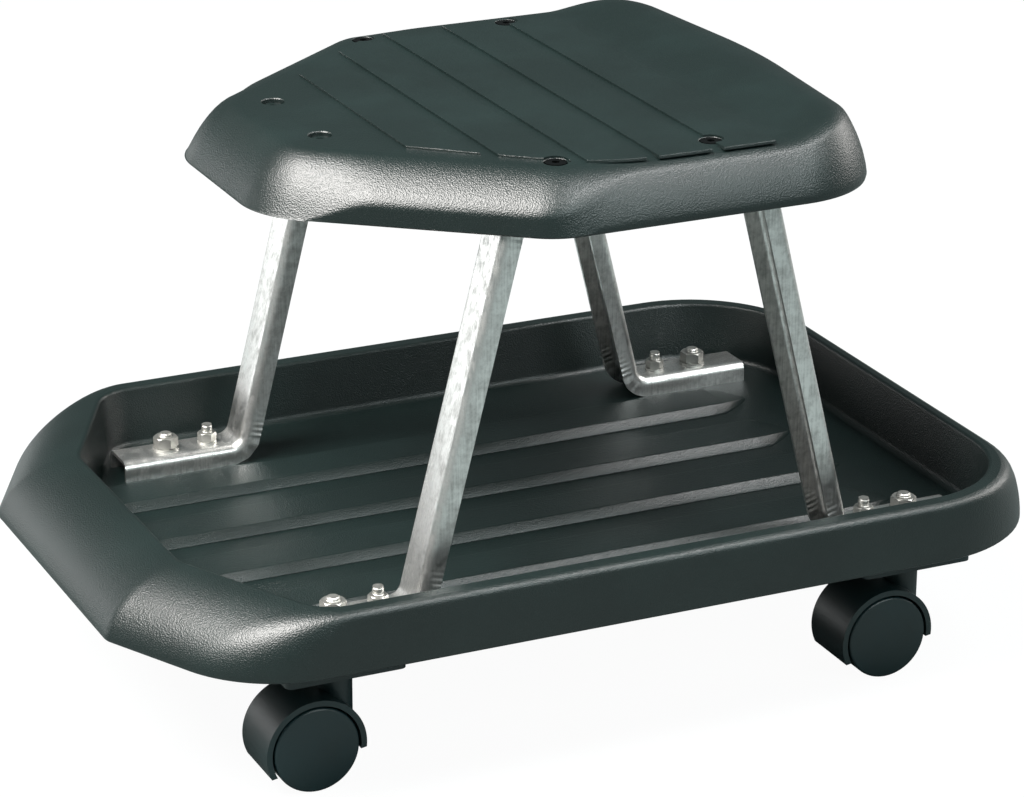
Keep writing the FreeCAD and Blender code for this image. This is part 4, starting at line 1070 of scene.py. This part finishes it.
def studio_floor(tone):
    """Matt studio floor: white to the eye, grey to what it lights, with soft shadows."""
    dust_size = 333.3 * MM
    glow, white_share = 1.2, 0.8
    material, tree, place = new_material("studio_floor")
    dust = add(tree, "ShaderNodeTexNoise", {"Scale": 1 / dust_size, "Detail": 3.0}, {"Vector": place})
    gloss = add(tree, "ShaderNodeMapRange", {"To Min": 0.8, "To Max": 0.95}, {"Value": dust.outputs["Fac"]})
    paper = add(tree, "ShaderNodeBsdfPrincipled",
                {"Base Color": hex_to_linear(tone), "Specular IOR Level": 0.1},
                {"Roughness": gloss.outputs[0]})
    white = add(tree, "ShaderNodeEmission", {"Color": hex_to_linear("#FFFFFF"), "Strength": glow})
    rays = add(tree, "ShaderNodeLightPath").outputs
    seen = add(tree, "ShaderNodeMath", {"operation": "MAXIMUM"},
               {0: rays["Is Camera Ray"], 1: rays["Is Transmission Ray"]})
    share = add(tree, "ShaderNodeMath", {"operation": "MULTIPLY", 1: white_share}, {0: seen.outputs[0]})
    shader = add(tree, "ShaderNodeMixShader",
                 links={0: share.outputs[0], 1: paper.outputs[0], 2: white.outputs[0]})
    end_material(tree, shader)
    return material


def softbox(name, aim, direction, distance, width, height, power, tint):
    """A rectangular soft light that looks at a point, sizes in metres and power in watts."""
    lamp = bpy.data.lights.new(name, "AREA")
    lamp.shape = "RECTANGLE"
    lamp.size = width
    lamp.size_y = height
    lamp.energy = power
    lamp.color = tint
    holder = bpy.data.objects.new(name, lamp)
    away = Vector(direction).normalized()
    holder.location = Vector(aim) + away * distance
    holder.rotation_euler = away.to_track_quat("Z", "Y").to_euler()
    bpy.context.scene.collection.objects.link(holder)


class CREEPER_OT_stage(bpy.types.Operator):
    """Set up the pale floor, the soft lights and the camera"""
    bl_idname = "creeper.stage"
    bl_label = "Stage"

    def execute(self, context):
        scene = context.scene
        sizes = scene.creeper_stage
        half = sizes.floor_half
        mesh = bpy.data.meshes.new("studio_floor")
        corners = [(-half, -half, 0), (half, -half, 0), (half, half, 0), (-half, half, 0)]
        mesh.from_pydata(corners, [], [(0, 1, 2, 3)])
        mesh.materials.append(studio_floor(scene.creeper_finishes.floor))
        floor = bpy.data.objects.new("studio_floor", mesh)
        scene.collection.objects.link(floor)

        world = bpy.data.worlds.new("studio")
        scene.world = world
        world.use_nodes = True
        tree = world.node_tree
        tree.nodes.clear()
        # white to the eye, a faint cool room to what it lights
        room = add(tree, "ShaderNodeBackground", {"Color": (0.85, 1.0, 1.0, 1.0), "Strength": 0.15})
        paper = add(tree, "ShaderNodeBackground", {"Color": hex_to_linear("#FFFFFF"), "Strength": 1.0})
        rays = add(tree, "ShaderNodeLightPath").outputs
        backdrop = add(tree, "ShaderNodeMixShader", links={0: rays["Is Camera Ray"], 1: room.outputs[0],
                                                           2: paper.outputs[0]})
        add(tree, "ShaderNodeOutputWorld", links={"Surface": backdrop.outputs[0]})
        aim = (0.0, 0.0, 0.2)
        warm, plain, cool = (1.0, 0.97, 0.94), (1.0, 1.0, 1.0), (0.9, 1.0, 1.0)
        softbox("key_softbox", aim, (-0.58, -0.09, 0.81), 2.0, 1.4, 1.1, 165, warm)
        softbox("top_softbox", aim, (0.38, -0.34, 0.83), 2.0, 0.7, 0.7, 33, plain)
        softbox("right_softbox", aim, (0.93, 0.08, 0.36), 2.2, 1.2, 1.3, 30, warm)
        softbox("front_softbox", aim, (0.3, -0.8, 0.5), 2.4, 1.2, 0.7, 26, cool)
        softbox("back_softbox", aim, (-0.6, 0.8, 0.0), 1.6, 1.6, 0.36, 5, plain)

        lens = bpy.data.cameras.new("photo_view")
        lens.sensor_width = 36.0
        lens.lens = sizes.lens
        lens.shift_x = sizes.shift_x
        lens.shift_y = sizes.shift_y
        lens.clip_end = 50.0
        camera = bpy.data.objects.new("photo_view", lens)
        camera.location = (sizes.eye_x, sizes.eye_y, sizes.eye_z)
        camera.rotation_euler = (math.pi / 2 - sizes.pitch, sizes.roll, -sizes.yaw)
        scene.collection.objects.link(camera)
        scene.camera = camera
        scene.view_settings.view_transform = "Standard"
        return {"FINISHED"}


STEPS = (CREEPER_OT_stage, CREEPER_OT_tray, CREEPER_OT_floor_ridges, CREEPER_OT_seat, CREEPER_OT_slats,
         CREEPER_OT_legs, CREEPER_OT_fastenings, CREEPER_OT_wheels, CREEPER_OT_casters)


class CREEPER_PT_panel(bpy.types.Panel):
    """Lists the steps that dress the seat"""
    bl_idname = "CREEPER_PT_panel"
    bl_label = "Creeper Seat"
    bl_space_type = "VIEW_3D"
    bl_region_type = "UI"
    bl_category = "Creeper Seat"

    def draw(self, context):
        for step in STEPS:
            self.layout.operator(step.bl_idname)


GROUPS = (("creeper_tray", TraySizes), ("creeper_seat", SeatSizes), ("creeper_legs", LegSizes),
          ("creeper_fastenings", FasteningSizes), ("creeper_wheels", WheelSizes),
          ("creeper_finishes", Finishes), ("creeper_stage", StageSizes))


def register():
    for name, group in GROUPS:
        bpy.utils.register_class(group)
        setattr(bpy.types.Scene, name, PointerProperty(type=group))
    for step in STEPS:
        bpy.utils.register_class(step)
    bpy.utils.register_class(CREEPER_PT_panel)


def unregister():
    bpy.utils.unregister_class(CREEPER_PT_panel)
    for step in reversed(STEPS):
        bpy.utils.unregister_class(step)
    for name, group in reversed(GROUPS):
        delattr(bpy.types.Scene, name)
        bpy.utils.unregister_class(group)


def main():
    register()
    bpy.ops.creeper.stage()
    bpy.ops.creeper.tray()
    bpy.ops.creeper.floor_ridges()
    bpy.ops.creeper.seat()
    bpy.ops.creeper.slats()
    bpy.ops.creeper.legs()
    bpy.ops.creeper.fastenings()
    bpy.ops.creeper.wheels()
    bpy.ops.creeper.casters()


if __name__ == "__main__":
    main()
